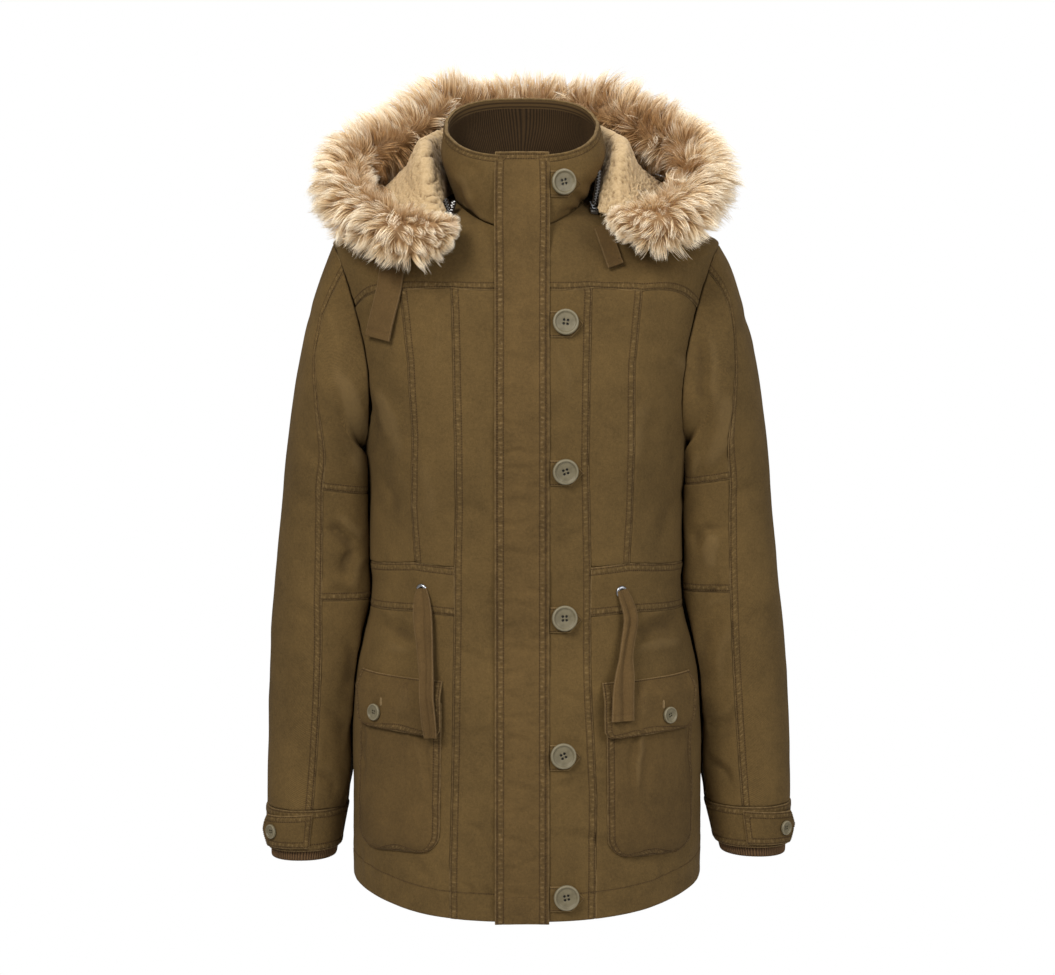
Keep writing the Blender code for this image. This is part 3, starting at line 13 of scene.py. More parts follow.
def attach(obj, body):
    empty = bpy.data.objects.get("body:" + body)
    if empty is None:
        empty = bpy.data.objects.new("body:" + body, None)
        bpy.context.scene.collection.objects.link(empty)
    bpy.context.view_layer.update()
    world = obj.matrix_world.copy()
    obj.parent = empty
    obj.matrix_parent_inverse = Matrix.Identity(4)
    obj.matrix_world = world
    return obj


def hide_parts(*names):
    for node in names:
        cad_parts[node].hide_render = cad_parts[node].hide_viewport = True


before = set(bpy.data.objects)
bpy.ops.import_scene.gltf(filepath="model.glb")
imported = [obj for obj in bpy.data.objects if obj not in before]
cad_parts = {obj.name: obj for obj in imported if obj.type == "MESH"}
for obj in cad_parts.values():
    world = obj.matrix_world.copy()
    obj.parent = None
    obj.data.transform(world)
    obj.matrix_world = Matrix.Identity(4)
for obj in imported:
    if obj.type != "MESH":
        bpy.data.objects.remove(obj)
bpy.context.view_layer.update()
mm = 0.001
chance = np.random.default_rng(11)
upward = np.array([0.0, 0.0, 1.0])
signs = {"r": -1, "l": 1}  # the wearer's right is at -X

# the view, the light and the floor
viewFrom = {"place": (0.0, -3.176, 0.093), "aim": (0.0, 0.99255, -0.12187), "lens": 104.0, "sensor": 36.0,
            "imageWidth": 1055, "shift": 1.5}
lamps = {  # place, aimed at, size, power, colour
    "key": ((-1.45, -2.3, 1.75), (0, 0, -0.3), 1.1, 84.0, (1.0, 0.98, 0.95)),
    "fill": ((2.1, -2.2, 1.1), (0, 0, -0.3), 1.6, 50.0, (0.97, 0.98, 1.0)),
    "top": ((0.2, 0.9, 1.9), (0, 0, 0), 1.4, 30.0, (1.0, 1.0, 1.0)),
}
studio = {"glow": 0.38, "backdrop": 1.0, "floorZ": -1.25, "floorRadius": 1.05, "floorColour": (0.86, 0.86, 0.85)}


def addThing(name, data):
    thing = bpy.data.objects.new(name, data)
    bpy.context.scene.collection.objects.link(thing)
    return thing


def pointThing(thing, place, way, axis="Z", turn=0.0):  # its axis points the given way
    thing.location = place
    thing.rotation_mode = "QUATERNION"
    thing.rotation_quaternion = Vector(way).to_track_quat(axis, "Y") @ Matrix.Rotation(turn, 3, "Z").to_quaternion()


def setStage():
    camera = addThing("camera", bpy.data.cameras.new("camera"))
    pointThing(camera, viewFrom["place"], viewFrom["aim"], "-Z")
    camera.data.lens = viewFrom["lens"]
    camera.data.sensor_width = viewFrom["sensor"]
    camera.data.shift_x = viewFrom["shift"] / viewFrom["imageWidth"]
    camera.data.clip_end = 30
    bpy.context.scene.camera = camera
    bpy.context.scene.view_settings.view_transform = "Standard"
    for name, (place, aim, size, power, colour) in lamps.items():
        light = bpy.data.lights.new(name, "AREA")
        light.size = size
        light.energy = power
        light.color = colour
        pointThing(addThing(name, light), place, Vector(aim) - Vector(place), "-Z")
    world = bpy.data.worlds.new("studio")
    bpy.context.scene.world = world
    world.use_nodes = True
    tree = world.node_tree
    glow, seen = tree.nodes["Background"], tree.nodes.new("ShaderNodeBackground")
    for white, strength in ((glow, studio["glow"]), (seen, studio["backdrop"])):
        white.inputs["Color"].default_value = (1, 1, 1, 1)
        white.inputs["Strength"].default_value = strength
    path = tree.nodes.new("ShaderNodeLightPath")
    pick = tree.nodes.new("ShaderNodeMixShader")
    tree.links.new(path.outputs["Is Camera Ray"], pick.inputs["Fac"])
    tree.links.new(glow.outputs[0], pick.inputs[1])
    tree.links.new(seen.outputs[0], pick.inputs[2])
    tree.links.new(pick.outputs[0], tree.nodes["World Output"].inputs["Surface"])
    mesh = bpy.data.meshes.new("floor")
    around = np.radians(np.arange(0, 360, 5))
    mesh.from_pydata([(studio["floorRadius"] * math.cos(a), studio["floorRadius"] * math.sin(a), 0) for a in around],
                     [], [tuple(range(len(around)))])
    floor = addThing("floor", mesh)
    floor.location.z = studio["floorZ"]
    pale = bpy.data.materials.new("paleFloor")
    pale.use_nodes = True
    shader = pale.node_tree.nodes["Principled BSDF"]
    shader.inputs["Base Color"].default_value = (*studio["floorColour"], 1)
    shader.inputs["Roughness"].default_value = 0.9
    mesh.materials.append(pale)


setStage()
print("stage and camera")


# curves, noise and grids
def unit(vectors):
    return vectors / np.maximum(np.linalg.norm(vectors, axis=-1, keepdims=True), 1e-12)


def bell(values):  # 1 at zero, falling away smoothly on both sides
    return np.exp(-values**2)


def signedPower(values, power):
    return np.sign(values) * np.abs(values)**power


def runOf(line):  # how far each point is along its line
    return np.concatenate([[0], np.cumsum(np.linalg.norm(np.diff(line, axis=0), axis=1))])


def readAt(values, at, knots=None):  # rows of a table at these places, straight between its knots
    knots = np.arange(len(values)) if knots is None else knots
    return np.stack([np.interp(at, knots, column) for column in np.asarray(values).T], axis=-1)


def lifted(points, ways, height):  # points moved along their ways by so many millimetres
    return points + ways * (height * mm)[..., None]


def alike(normals, ways):  # all turned round where they point against the ways on the whole
    return normals if np.sum(normals * ways) > 0 else -normals


def together(*values):  # numbers and arrays as arrays of one shape
    return np.broadcast_arrays(*(np.asarray(value, dtype=float) for value in values))


def readRows(keys, rows, at):  # a smooth curve through rows that never overshoots them
    keys, rows = np.asarray(keys, dtype=float), np.asarray(rows, dtype=float)
    at = np.clip(np.asarray(at, dtype=float), keys[0], keys[-1])
    step = np.diff(keys)[:, None]
    rise = np.diff(rows, axis=0) / step
    before, after = rise[:-1], rise[1:]
    same = before * after > 0
    heavy, light = 2 * step[1:] + step[:-1], step[1:] + 2 * step[:-1]
    mean = (heavy + light) / (heavy / np.where(same, before, 1.0) + light / np.where(same, after, 1.0))
    slopes = np.concatenate([rise[:1], np.where(same, mean, 0.0), rise[-1:]])
    low = np.clip(np.searchsorted(keys, at, side="right") - 1, 0, len(keys) - 2)
    span = (keys[low + 1] - keys[low])[..., None]
    t = ((at - keys[low])[..., None]) / span
    return (rows[low] * (2 * t**3 - 3 * t**2 + 1) + slopes[low] * span * (t**3 - 2 * t**2 + t)
            + rows[low + 1] * (3 * t**2 - 2 * t**3) + slopes[low + 1] * span * (t**3 - t**2))


def between(values, at, loop=False):  # rows of a grid at fractional row numbers, smooth through every row
    count = len(values)
    low = np.floor(at).astype(int)
    if not loop:
        low = np.clip(low, 0, count - 2)
    t = (at - low).reshape((-1,) + (1,) * (values.ndim - 1))
    place = [(low + k) % count if loop else np.clip(low + k, 0, count - 1) for k in (-1, 0, 1, 2)]
    a, b, c, d = (values[p] for p in place)
    return b + 0.5 * t * (c - a + t * (2 * a - 5 * b + 4 * c - d + t * (3 * (b - c) + d - a)))


def softNoise(points, size, seed):  # smooth lumps from -1 to 1, about that size
    points = np.asarray(points, dtype=float) / size + 31.7 + seed * 5.31
    base = np.floor(points).astype(np.int64)
    part = points - base
    part = part * part * (3 - 2 * part)
    total = np.zeros(points.shape[:-1])
    for corner in itertools.product((0, 1), repeat=points.shape[-1]):
        mix = np.full(points.shape[:-1], seed * 7919 + 13, dtype=np.int64)
        weight = np.ones(points.shape[:-1])
        for axis, side in enumerate(corner):
            mix = (mix ^ (base[..., axis] + side)) * 73244475 & 0xffffffff
            mix = mix ^ (mix >> 16)
            weight = weight * (part[..., axis] if side else 1 - part[..., axis])
        total += weight * ((mix * 73244475 & 0xffffffff) / 0xffffffff * 2 - 1)
    return total


def flatNoise(u, v, size, seed):  # lumps on a sheet laid flat
    return softNoise(np.stack([u, v], axis=-1), size, seed)


def ease(values, low, high):
    share = np.clip((values - low) / (high - low), 0, 1)
    return share * share * (3 - 2 * share)


def gridNormals(grid, loop=False):
    if loop:
        grid = np.concatenate([grid[:, -1:], grid, grid[:, :1]], axis=1)
    across = np.gradient(grid, axis=1)
    along = np.gradient(grid, axis=0)
    normals = unit(np.cross(across, along))
    return normals[:, 1:-1] if loop else normals


def alongEdge(grid):  # how far every point is from the grid's four edges, in metres
    first, low = (np.cumsum(np.linalg.norm(np.diff(grid, axis=k), axis=-1), axis=k) for k in (1, 0))
    first, low = np.pad(first, ((0, 0), (1, 0))), np.pad(low, ((1, 0), (0, 0)))
    return {"first": first, "last": first[:, -1:] - first, "low": low, "top": low[-1:] - low}


def runBeside(gaps, edge):  # the distance that grows along an edge
    return gaps["low"] if edge in ("first", "last") else gaps["first"]


def finer(grid, rowsAt, columnsAt, loop=False):  # a smooth grid at fractional rows and columns of this one
    return between(between(grid, rowsAt).transpose(1, 0, 2), columnsAt, loop).transpose(1, 0, 2)


def spread(length, step, fine=True, stride=4):  # shares from 0 to 1, close together at both ends
    near = np.array([0, 0.6, 1.5, 2.6, 4.4, 6.2, 7.5, 8.8, 11.0]) * mm if fine else np.array([0.0])
    if near[-1] * 2.4 > length:
        near = near[near * 2.4 < length]
    middle = length - 2 * near[-1]
    count = max(1, round(middle / step))
    while (2 * (len(near) - 1) + count) % stride:
        count += 1
    inner = near[-1] + middle * np.arange(1, count) / count
    return np.concatenate([near, inner, length - near[::-1]]) / length


print("helpers")


# the coat's own form: rings from hem to neck, the sleeves, the cuffs and the collar
bodyRings = np.array([  # frontZ, sideZ, backZ, halfWidth, frontDepth, backDepth, power, shift, bend
    (-726, -706, -712, 184, 155, 150, 2.25, 1, 2),
    (-650, -650, -650, 184, 150, 148, 2.25, 1, 2),
    (-560, -560, -560, 184, 141, 143, 2.25, 1, 2),
    (-490, -490, -490, 180, 133, 136, 2.25, 1, 2),
    (-455, -455, -455, 173, 127, 130, 2.25, 1, 2),
    (-420, -420, -420, 165, 123, 124, 2.25, 1, 2),
    (-392, -392, -392, 163, 121, 121, 2.25, 1, 2),
    (-365, -372, -368, 165, 122, 121, 2.25, 1, 2),
    (-310, -310, -310, 165, 125, 126, 2.25, 0, 2),
    (-248, -250, -250, 170, 128, 130, 2.30, 0, 2),
    (-200, -185, -192, 177, 126, 130, 2.30, 0, 2),
    (-150, -118, -128, 188, 119, 125, 2.25, 0, 2),
    (-105, -42, -72, 200, 110, 114, 2.20, 0, 2),
    (-80, -24, -35, 158, 103, 99, 2.20, -1, 2),
    (-52, -10, 2, 112, 95, 79, 2.15, -3, 2),
    (-24, 2, 29, 66, 85, 60, 2.10, -6, 2),
], dtype=float)
ring = {"hem": 0, "waistLow": 5, "waistTop": 7, "underarm": 9, "shoulder": 12, "neck": 15}
collarRings = np.array([
    (-23.3, 2.7, 29.7, 66, 85, 60, 2.10, -6, 2.0),
    (-4, 26, 50, 77, 84, 63, 2.20, -4, 1.7),
    (22, 54, 79, 85, 80, 64, 2.50, -3, 1.3),
    (51, 82, 109, 80, 75, 60, 2.80, -4.5, 1.0),
], dtype=float)
centreX = -4.0
seamPaths = {  # x from the centre and z, from hem to yoke
    ("inner", "r"): ((77.5, -722), (77.5, -667), (74.5, -547), (73, -415), (73, -365), (71.5, -300), (72, -232),
                     (75.5, -83)),
    ("inner", "l"): ((71, -722), (72, -595), (66, -476), (66, -365), (63.5, -256), (64.5, -183), (66.5, -83)),
    ("outer", "r"): ((128, -716), (124, -560), (116, -413), (113.5, -362), (116, -306), (116, -232), (120, -158),
                     (128, -86)),
    ("outer", "l"): ((124, -716), (118, -560), (108, -413), (106, -362), (108, -306), (109, -256), (111, -158),
                     (118, -84)),
}
seamHeights = {"centre": (-723, -415, -365, -81), "inner": (-722, -415, -365, -81.5),
               "outer": (-717, -413, -362.5, -85)}
armSwing, armPower, armYoke = 28.0, 0.8, 60
bodyFolds = (  # side, x, z, half-width, half-length, lean, depth
    (-1, 150, -300, 16, 70, 12, 3.0), (-1, 100, -300, 24, 60, -10, -2.0), (1, 148, -310, 16, 70, -12, 3.0),
    (1, 95, -290, 24, 60, 8, -2.0), (-1, 130, -455, 18, 34, 10, 2.5), (1, 125, -452, 18, 34, -10, 2.5),
    (-1, 60, -520, 22, 110, 0, -2.0), (1, 120, -690, 26, 60, 6, -3.0), (-1, 100, -690, 26, 60, -6, -3.0),
)


def ringPoint(rings, angle, level):  # angle 0 is the front, 90 the wearer's left, 180 the back
    row = readRows(np.arange(len(rings)), rings, level)
    sine, cosine = np.sin(np.radians(angle)), np.cos(np.radians(angle))
    curve = 2.0 / row[..., 6]
    x = row[..., 7] + row[..., 3] * signedPower(sine, curve)
    y = -np.where(cosine > 0, row[..., 4], row[..., 5]) * signedPower(cosine, curve)
    facing = np.abs(cosine)**row[..., 8]
    z = np.where(cosine > 0, row[..., 0], row[..., 2]) * facing + row[..., 1] * (1 - facing)
    return np.stack([x, y, z], axis=-1)


def ringSurface(rings, angle, level):  # points and outward normals
    angle, level = together(angle, level)
    turn, climb = 1.2, 0.04
    around = ringPoint(rings, angle + turn, level) - ringPoint(rings, angle - turn, level)
    top, low = np.minimum(level + climb, len(rings) - 1), np.maximum(level - climb, 0)
    rising = ringPoint(rings, angle, top) - ringPoint(rings, angle, low)
    return ringPoint(rings, angle, level), unit(np.cross(around, rising))


def bodySurface(angle, level):
    points, normals = ringSurface(bodyRings, angle, level)
    depth = np.zeros(points.shape[:-1])
    for side, x, z, halfWidth, halfLength, lean, deep in bodyFolds:
        lean = math.radians(lean) * side
        across = (points[..., 0] - side * x) * math.cos(lean) - (points[..., 2] - z) * math.sin(lean)
        along = (points[..., 0] - side * x) * math.sin(lean) + (points[..., 2] - z) * math.cos(lean)
        depth += np.where(points[..., 1] < 20, deep * np.exp(-(across / halfWidth)**2 - (along / halfLength)**2), 0)
    return (points - normals * depth[..., None]) * mm, normals


def frontAngle(x, level):
    row = readRows(np.arange(len(bodyRings)), bodyRings, level)
    offset = x - row[..., 7]
    share = np.clip(np.abs(offset) / row[..., 3], 0, 1)
    return np.sign(offset) * np.degrees(np.arcsin(share**(row[..., 6] / 2)))


def frontPlace(x, z):  # angle and level of the front at (x, z)
    x, z = together(x, z)
    low, high = np.zeros(x.shape), np.full(x.shape, float(ring["neck"]))
    for _ in range(30):
        level = (low + high) / 2
        below = ringPoint(bodyRings, frontAngle(x, level), level)[..., 2] < z
        low, high = np.where(below, level, low), np.where(below, high, level)
    return np.stack([frontAngle(x, level), level], axis=-1)


def armhole(sign, degrees):  # 0 is the shoulder tip, 90 the front, 180 the underarm
    degrees = np.asarray(degrees, dtype=float)
    middle, reach = (ring["shoulder"] + ring["underarm"]) / 2, (ring["shoulder"] - ring["underarm"]) / 2
    swing = armSwing * signedPower(np.sin(np.radians(degrees)), armPower)
    return np.stack([sign * (90 - swing), middle + reach * np.cos(np.radians(degrees))], axis=-1)


def seamLine(side, name, low, top, count=60):  # (angle, level) up a front seam between two of its heights
    heights = np.linspace(seamHeights[name][low], seamHeights[name][top], count)
    if name == "centre":
        x = np.full(count, centreX)
    else:
        table = np.array(seamPaths[name, side], dtype=float)
        x = signs[side] * np.interp(heights, table[:, 1], table[:, 0])
    return frontPlace(x, heights)


def levelLine(sign, low, top, count=60):
    return np.stack([np.full(count, 90.0 * sign), np.linspace(low, top, count)], axis=-1)


def readLine(line, shares):
    return readAt(line, np.asarray(shares) * (len(line) - 1))


# soft creases: from, to, sideways bend, half-width, depth (below 0 is a ridge), all in millimetres
bodyCreases = (
    (-156, -183, -128, -258, 6, 9, -1.4), (-151, -270, -126, -352, 7, 8, 1.5), (-163, -190, -155, -240, 3, 6, 1.6),
    (-128, -296, -140, -345, -5, 7, 1.0), (-106, -250, -98, -330, 4, 10, -0.8), (-88, -110, -96, -170, 4, 9, -0.7),
    (166, -215, 148, -296, -6, 9, 1.3), (162, -296, 136, -352, -6, 8, 1.5), (124, -190, 112, -262, -5, 10, -0.9),
    (72, -122, 106, -116, 3, 5, 0.6), (150, -150, 168, -200, 5, 8, -1.2), (90, -300, 84, -352, 4, 8, 0.8),
    (34, -634, 87, -650, 5, 5, 1.3), (26, -586, 58, -574, -4, 4, 1.1), (31, -492, 65, -508, 4, 4, 1.0),
    (-71, -451, -39, -460, 3, 4, 0.9), (-64, -533, -34, -524, -4, 4, 0.9), (-61, -625, -39, -650, 5, 4, 1.1),
    (-65, -684, -53, -697, 3, 3, 1.5), (-45, -685, -35, -699, 3, 3, 1.5), (-58, -560, -40, -590, -4, 6, 0.7),
    (-156, -432, -108, -451, 6, 8, 1.7), (-150, -452, -96, -444, -4, 7, -1.1), (106, -432, 160, -423, -5, 7, 1.7),
    (110, -456, 163, -450, 5, 7, -1.2), (30, -430, 60, -452, 4, 6, 0.8), (28, -340, 60, -322, -3, 5, 0.7),
    (36, -540, 66, -556, 4, 5, 0.8), (-70, -300, -40, -312, 3, 6, 0.6), (-66, -196, -38, -204, 3, 6, 0.5),
    (-168, -560, -158, -640, 6, 8, 1.6), (168, -540, 160, -640, -6, 8, 1.6), (-120, -668, -96, -690, 4, 5, 1.0),
    (100, -664, 150, -676, 5, 6, 1.0), (44, -664, 52, -700, 3, 4, 0.9), (-100, -690, -92, -716, 2, 4, 0.8),
    (116, -684, 110, -714, -2, 5, 0.9), (-160, -112, -120, -96, 5, 7, 0.8), (100, -60, 150, -92, -5, 8, 0.9),
    (30, -140, 44, -200, 4, 7, -0.7), (-48, -230, -44, -290, 3, 7, -0.6),
)
backCreases = (
    (-120, -300, -60, -352, 8, 10, 1.8), (120, -296, 66, -350, -8, 10, 1.8), (-150, -180, -110, -270, 8, 11, 1.8),
    (150, -176, 112, -268, -8, 11, 1.8), (-30, -330, 34, -342, 4, 8, 1.2), (-140, -440, -70, -470, 8, 10, 1.9),
    (138, -436, 64, -468, -8, 10, 1.9), (-20, -420, -34, -520, 6, 12, 1.3), (40, -424, 46, -540, -6, 12, 1.3),
    (-100, -560, -80, -690, 6, 16, 1.6), (96, -570, 84, -690, -6, 16, 1.6), (-60, -120, 50, -130, 8, 12, 1.0),
    (-160, -540, -150, -660, 6, 9, 1.6), (160, -540, 150, -650, -6, 9, 1.6), (0, -200, 6, -300, 5, 16, -1.2),
)
sleeveCreases = {
    "r": (
        (-207, -332, -182, -360, 5, 7, 3.2), (-180, -360, -190, -388, -4, 6, 2.6), (-187, -452, -190, -511, 5, 9, 2.2),
        (-222, -596, -200, -616, 4, 5, 2.0), (-193, -165, -166, -284, 8, 11, -2.2), (-166, -238, -158, -290, 4, 6, 2.2),
        (-240, -300, -214, -318, 4, 8, 1.2), (-232, -214, -206, -270, -7, 9, 1.4), (-250, -420, -222, -436, 5, 7, 1.2),
        (-214, -520, -190, -566, 6, 8, 1.6), (-244, -560, -226, -590, 4, 7, 1.2), (-226, -110, -206, -160, 6, 9, 1.1),
        (-204, -400, -178, -412, 3, 6, 1.6), (-252, -470, -238, -520, 4, 9, 1.0)),
    "l": (
        (198, -332, 175, -355, -5, 7, 2.6), (182, -332, 194, -381, 4, 8, -1.6), (172, -127, 177, -211, 4, 7, 2.2),
        (194, -433, 188, -511, -5, 9, 2.2), (188, -543, 222, -531, -5, 6, 1.8), (191, -583, 214, -603, 4, 5, 1.8),
        (206, -190, 190, -270, 6, 11, -1.8), (168, -250, 160, -300, -4, 6, 2.2), (240, -290, 214, -308, -4, 8, 1.2),
        (250, -424, 224, -440, -5, 7, 1.3), (232, -110, 212, -170, -6, 9, 1.1), (256, -480, 240, -530, -4, 9, 1.0),
        (206, -398, 180, -408, -3, 6, 1.6), (240, -566, 226, -598, -4, 7, 1.2)),
}
collarCreases = ((-66, 13, -42, -19, -6, 4, 2.0), (-72, 30, -58, 2, 5, 6, -1.4), (34, 16, 64, -8, 5, 4, 1.6),
                 (62, 24, 76, 0, 4, 5, 1.4), (-60, 40, -46, 22, 3, 5, 0.9), (40, -4, 60, -18, 3, 3, 1.1))
creaseGain, creaseRidge = 1.35, 0.45  # the cloth stands up beside a crease by this share of its depth


def creaseDepth(points, creases, seed=3):  # how far creases sink each point, in millimetres
    flat = points.reshape(-1, 3) / mm
    depth = np.zeros(len(flat))
    wander = np.stack([softNoise(flat[:, ::2], 14, seed), softNoise(flat[:, ::2], 14, seed + 1)], axis=-1) * 2.4
    for x1, z1, x2, z2, bend, halfWidth, deep in creases:
        start, end = np.array([x1, z1], dtype=float), np.array([x2, z2], dtype=float)
        length = np.linalg.norm(end - start)
        side = np.array([-(end - start)[1], (end - start)[0]]) / length
        middle, reach = (start + end) / 2, length / 2 + halfWidth * 3 + abs(bend)
        near = np.flatnonzero(np.max(np.abs(flat[:, ::2] - middle), axis=1) < reach)
        if not len(near):
            continue
        offset = flat[near][:, ::2] + wander[near] - start
        t = offset @ (end - start) / length**2
        line = bend * 4 * t * (1 - t)
        away = offset @ side - line
        taper = bell(np.maximum(np.abs(t - 0.5) - 0.22, 0) / 0.26)
        dip = bell(away / halfWidth) - creaseRidge * bell((away - 1.9 * halfWidth) / halfWidth)
        depth[near] += creaseGain * deep * taper * dip
    return depth.reshape(points.shape[:-1])


# seams: twin rows of stitches, the puffed ribbon between them and the puckers beside them
seamLook = {"rows": (1.6, 7.6), "groove": 0.38, "puff": 0.42, "roll": 0.75, "pucker": 0.62, "reach": 9.0, "wave": 6.5}


def seamRelief(gaps, edges, seed, strength=1.0, places=seamLook["rows"]):  # millimetres outward beside sewn edges
    relief = np.zeros(gaps["low"].shape)
    for number, (edge, rows) in enumerate(edges.items()):
        gap, run = gaps[edge] / mm, runBeside(gaps, edge) / mm
        wave = flatNoise(run, gap * 0.35, seamLook["wave"], seed + number) * 0.7
        wave += flatNoise(run, gap * 0.35, seamLook["wave"] * 2.3, seed + number + 40) * 0.6
        wave = np.where(wave > 0, wave, wave * 1.4)
        relief += strength * seamLook["pucker"] * wave * np.exp(-gap / seamLook["reach"])
        relief -= seamLook["roll"] * bell(gap / 0.9)
        for at in places[:rows]:
            relief -= seamLook["groove"] * bell((gap - at) / 0.75)
        if rows > 1:
            first, second = places[:2]
            tiny = 0.6 + 0.55 * flatNoise(run, gap, 4.2, seed + number + 80)
            inside = ease(gap, first - 0.6, first + 1.4) * (1 - ease(gap, second - 1.4, second + 0.6))
            relief += seamLook["puff"] * tiny * inside
    return relief


stitchLook = {"pitch": 2.6, "half": 0.9, "radius": 0.36, "height": 0.2}
stitches = []  # (points, normals) of every row


def rowAt(grid, normals, edge, offset, start=0.0, end=1.0):  # a line on the grid beside one of its edges
    if edge in ("low", "top"):
        grid, normals = grid.transpose(1, 0, 2), normals.transpose(1, 0, 2)
    if edge in ("last", "top"):
        grid, normals = grid[:, ::-1], normals[:, ::-1]
    gaps = alongEdge(grid)["first"]
    span = range(round(start * (len(grid) - 1)), round(end * (len(grid) - 1)) + 1)
    line, facing = (np.array([readAt(rows[i], offset, gaps[i]) for i in span]) for rows in (grid, normals))
    return line, unit(facing)


def sewEdge(grid, normals, edge, offsets, start=0.0, end=1.0):
    stitches.extend(rowAt(grid, normals, edge, offset * mm, start, end) for offset in offsets)


def makeStitches(name, rows):  # every stitch is a small spindle lying on the cloth
    points, faces = [], []
    half, radius, height = (stitchLook[key] * mm for key in ("half", "radius", "height"))
    corners = [(math.cos(a) * radius, math.sin(a) * radius * 0.8 + height) for a in np.radians([90, 210, 330])]
    spindle = [(-half, 0, -height)] + [(share * half, *corner) for share in (-0.5, 0.5) for corner in corners]
    spindle = np.array(spindle + [(half, 0, -height)])[:, :, None]  # along, across and off the cloth
    pattern = [face for j, m in ((0, 1), (1, 2), (2, 0)) for face in (
        (0, 1 + m, 1 + j), (1 + j, 1 + m, 4 + m, 4 + j), (7, 4 + j, 4 + m))]
    for line, facing in rows:
        run = runOf(line)
        count = int(run[-1] / (stitchLook["pitch"] * mm))
        if count < 2:
            continue
        at = (np.arange(count) + 0.5) * run[-1] / count
        at += chance.uniform(-0.12, 0.12, count) * mm
        centre, normal = readAt(line, at, run), unit(readAt(facing, at, run))
        along = unit(readAt(line, at + half, run) - readAt(line, at - half, run))
        side = np.cross(normal, along)
        slant = chance.uniform(-0.06, 0.06, count)[:, None]
        along, side = unit(along + side * slant), unit(side - along * slant)
        for place, *ways in zip(centre, along, side, normal):
            faces.extend(tuple(len(points) * 8 + k for k in face) for face in pattern)
            points.append(place + np.sum(spindle * np.array(ways), axis=1))
    return meshPiece(name, np.concatenate(points), faces)


# meshes
def meshPiece(name, points, faces, smooth=True):
    mesh = bpy.data.meshes.new(name)
    mesh.from_pydata(points.tolist(), [], faces)
    mesh.polygons.foreach_set("use_smooth", np.full(len(mesh.polygons), smooth))
    return addThing(name, mesh)


def pieceName(node):  # front_yoke_r becomes frontYokeR
    first, *others = node.split("_")
    return first + "".join(other.capitalize() for other in others)


def quads(rows, columns, base=0, loop=False):  # the corners of every quad in a grid of points
    i, j = np.meshgrid(np.arange(rows - 1), np.arange(columns if loop else columns - 1), indexing="ij")
    a, b = base + i * columns + j, base + i * columns + (j + 1) % columns
    return np.stack([a, b, b + columns, a + columns], axis=-1).reshape(-1, 4)


def tube(rings, sides, base=0):
    return quads(rings, sides, base, True).tolist()


def lids(rings, sides, base=0):  # the faces that close a tube's two ends
    first, last = range(base, base + sides), range(base + (rings - 1) * sides, base + rings * sides)
    return [tuple(first[::-1]), tuple(last)]


def setField(mesh, name, values):
    held = mesh.attributes.new(name, "FLOAT", "POINT")
    held.data.foreach_set("value", np.asarray(values, dtype=np.float32).ravel())


def finishPiece(thing, material, nodes=(), bodyName="coat"):
    thing.data.materials.append(materials[material])
    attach(thing, bodyName)
    if nodes:
        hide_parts(*nodes)
    return thing


def shellPiece(name, outer, normals, thick, fields, stride=4, loop=False):
    # a closed wall: a fine outside, and an inside with one point for every few of the outside's
    rows, columns = outer.shape[:2]
    inner = outer[::stride, ::stride] - normals[::stride, ::stride] * (thick * mm)
    base, wide = rows * columns, inner.shape[1]
    faces = quads(rows, columns, 0, loop).tolist() + quads(len(inner), wide, base, loop)[:, [0, 3, 2, 1]].tolist()
    smooth = len(faces)
    for row in (0, rows - 1):
        at = base + row // stride * wide
        for k in range(wide if loop else wide - 1):
            edge = [row * columns + (k * stride + n) % columns for n in range(stride + 1)]
            inside = [at + k, at + (k + 1) % wide]
            faces.append(edge[::-1] + inside if row == 0 else edge + inside[::-1])
    if not loop:
        for column in (0, columns - 1):
            for k in range(len(inner) - 1):
                edge = [(k * stride + n) * columns + column for n in range(stride + 1)]
                inside = [base + k * wide + column // stride, base + (k + 1) * wide + column // stride]
                faces.append(edge + inside[::-1] if column == 0 else edge[::-1] + inside)
    face = np.cross(outer[:-1, 1:] - outer[:-1, :-1], outer[1:, :-1] - outer[:-1, :-1])
    if np.sum(face * normals[:-1, :-1]) < 0:
        faces = [face[::-1] for face in faces]
    thing = meshPiece(name, np.concatenate([outer.reshape(-1, 3), inner.reshape(-1, 3)]), faces)
    thing.data.polygons.foreach_set("use_smooth", np.arange(len(faces)) < smooth)
    gaps = alongEdge(outer)
    for field, values in {**fields, "clothU": gaps["first"], "clothV": gaps["low"]}.items():
        values = np.broadcast_to(values, (rows, columns))
        setField(thing.data, field, np.concatenate([values.ravel(), values[::stride, ::stride].ravel()]))
    return thing


def skinTree(grids):
    points = [grid.reshape(-1, 3) for grid in grids]
    bases = np.cumsum([0] + [len(some) for some in points])
    faces = [quads(*grid.shape[:2], base) for grid, base in zip(grids, bases)]
    return BVHTree.FromPolygons(np.concatenate(points).tolist(), np.concatenate(faces).tolist())


# finishes
materials = {}


def addNode(tree, kind, inputs=None, **settings):
    made = tree.nodes.new(kind)
    for name, value in settings.items():
        setattr(made, name, value)
    for name, value in (inputs or {}).items():
        if isinstance(value, bpy.types.NodeSocket):
            tree.links.new(value, made.inputs[name])
        else:
            made.inputs[name].default_value = (*value, 1.0) if isinstance(value, tuple) else value
    return made


def doMath(kind, *values):  # nodes are added to the tree that holds the values they take
    tree = next(value.id_data for value in values if isinstance(value, bpy.types.NodeSocket))
    return addNode(tree, "ShaderNodeMath", dict(enumerate(values)), operation=kind).outputs[0]


def plus(total, *others):
    for other in others:
        total = doMath("ADD", total, other)
    return total


def times(total, *others):
    for other in others:
        total = doMath("MULTIPLY", total, other)
    return total


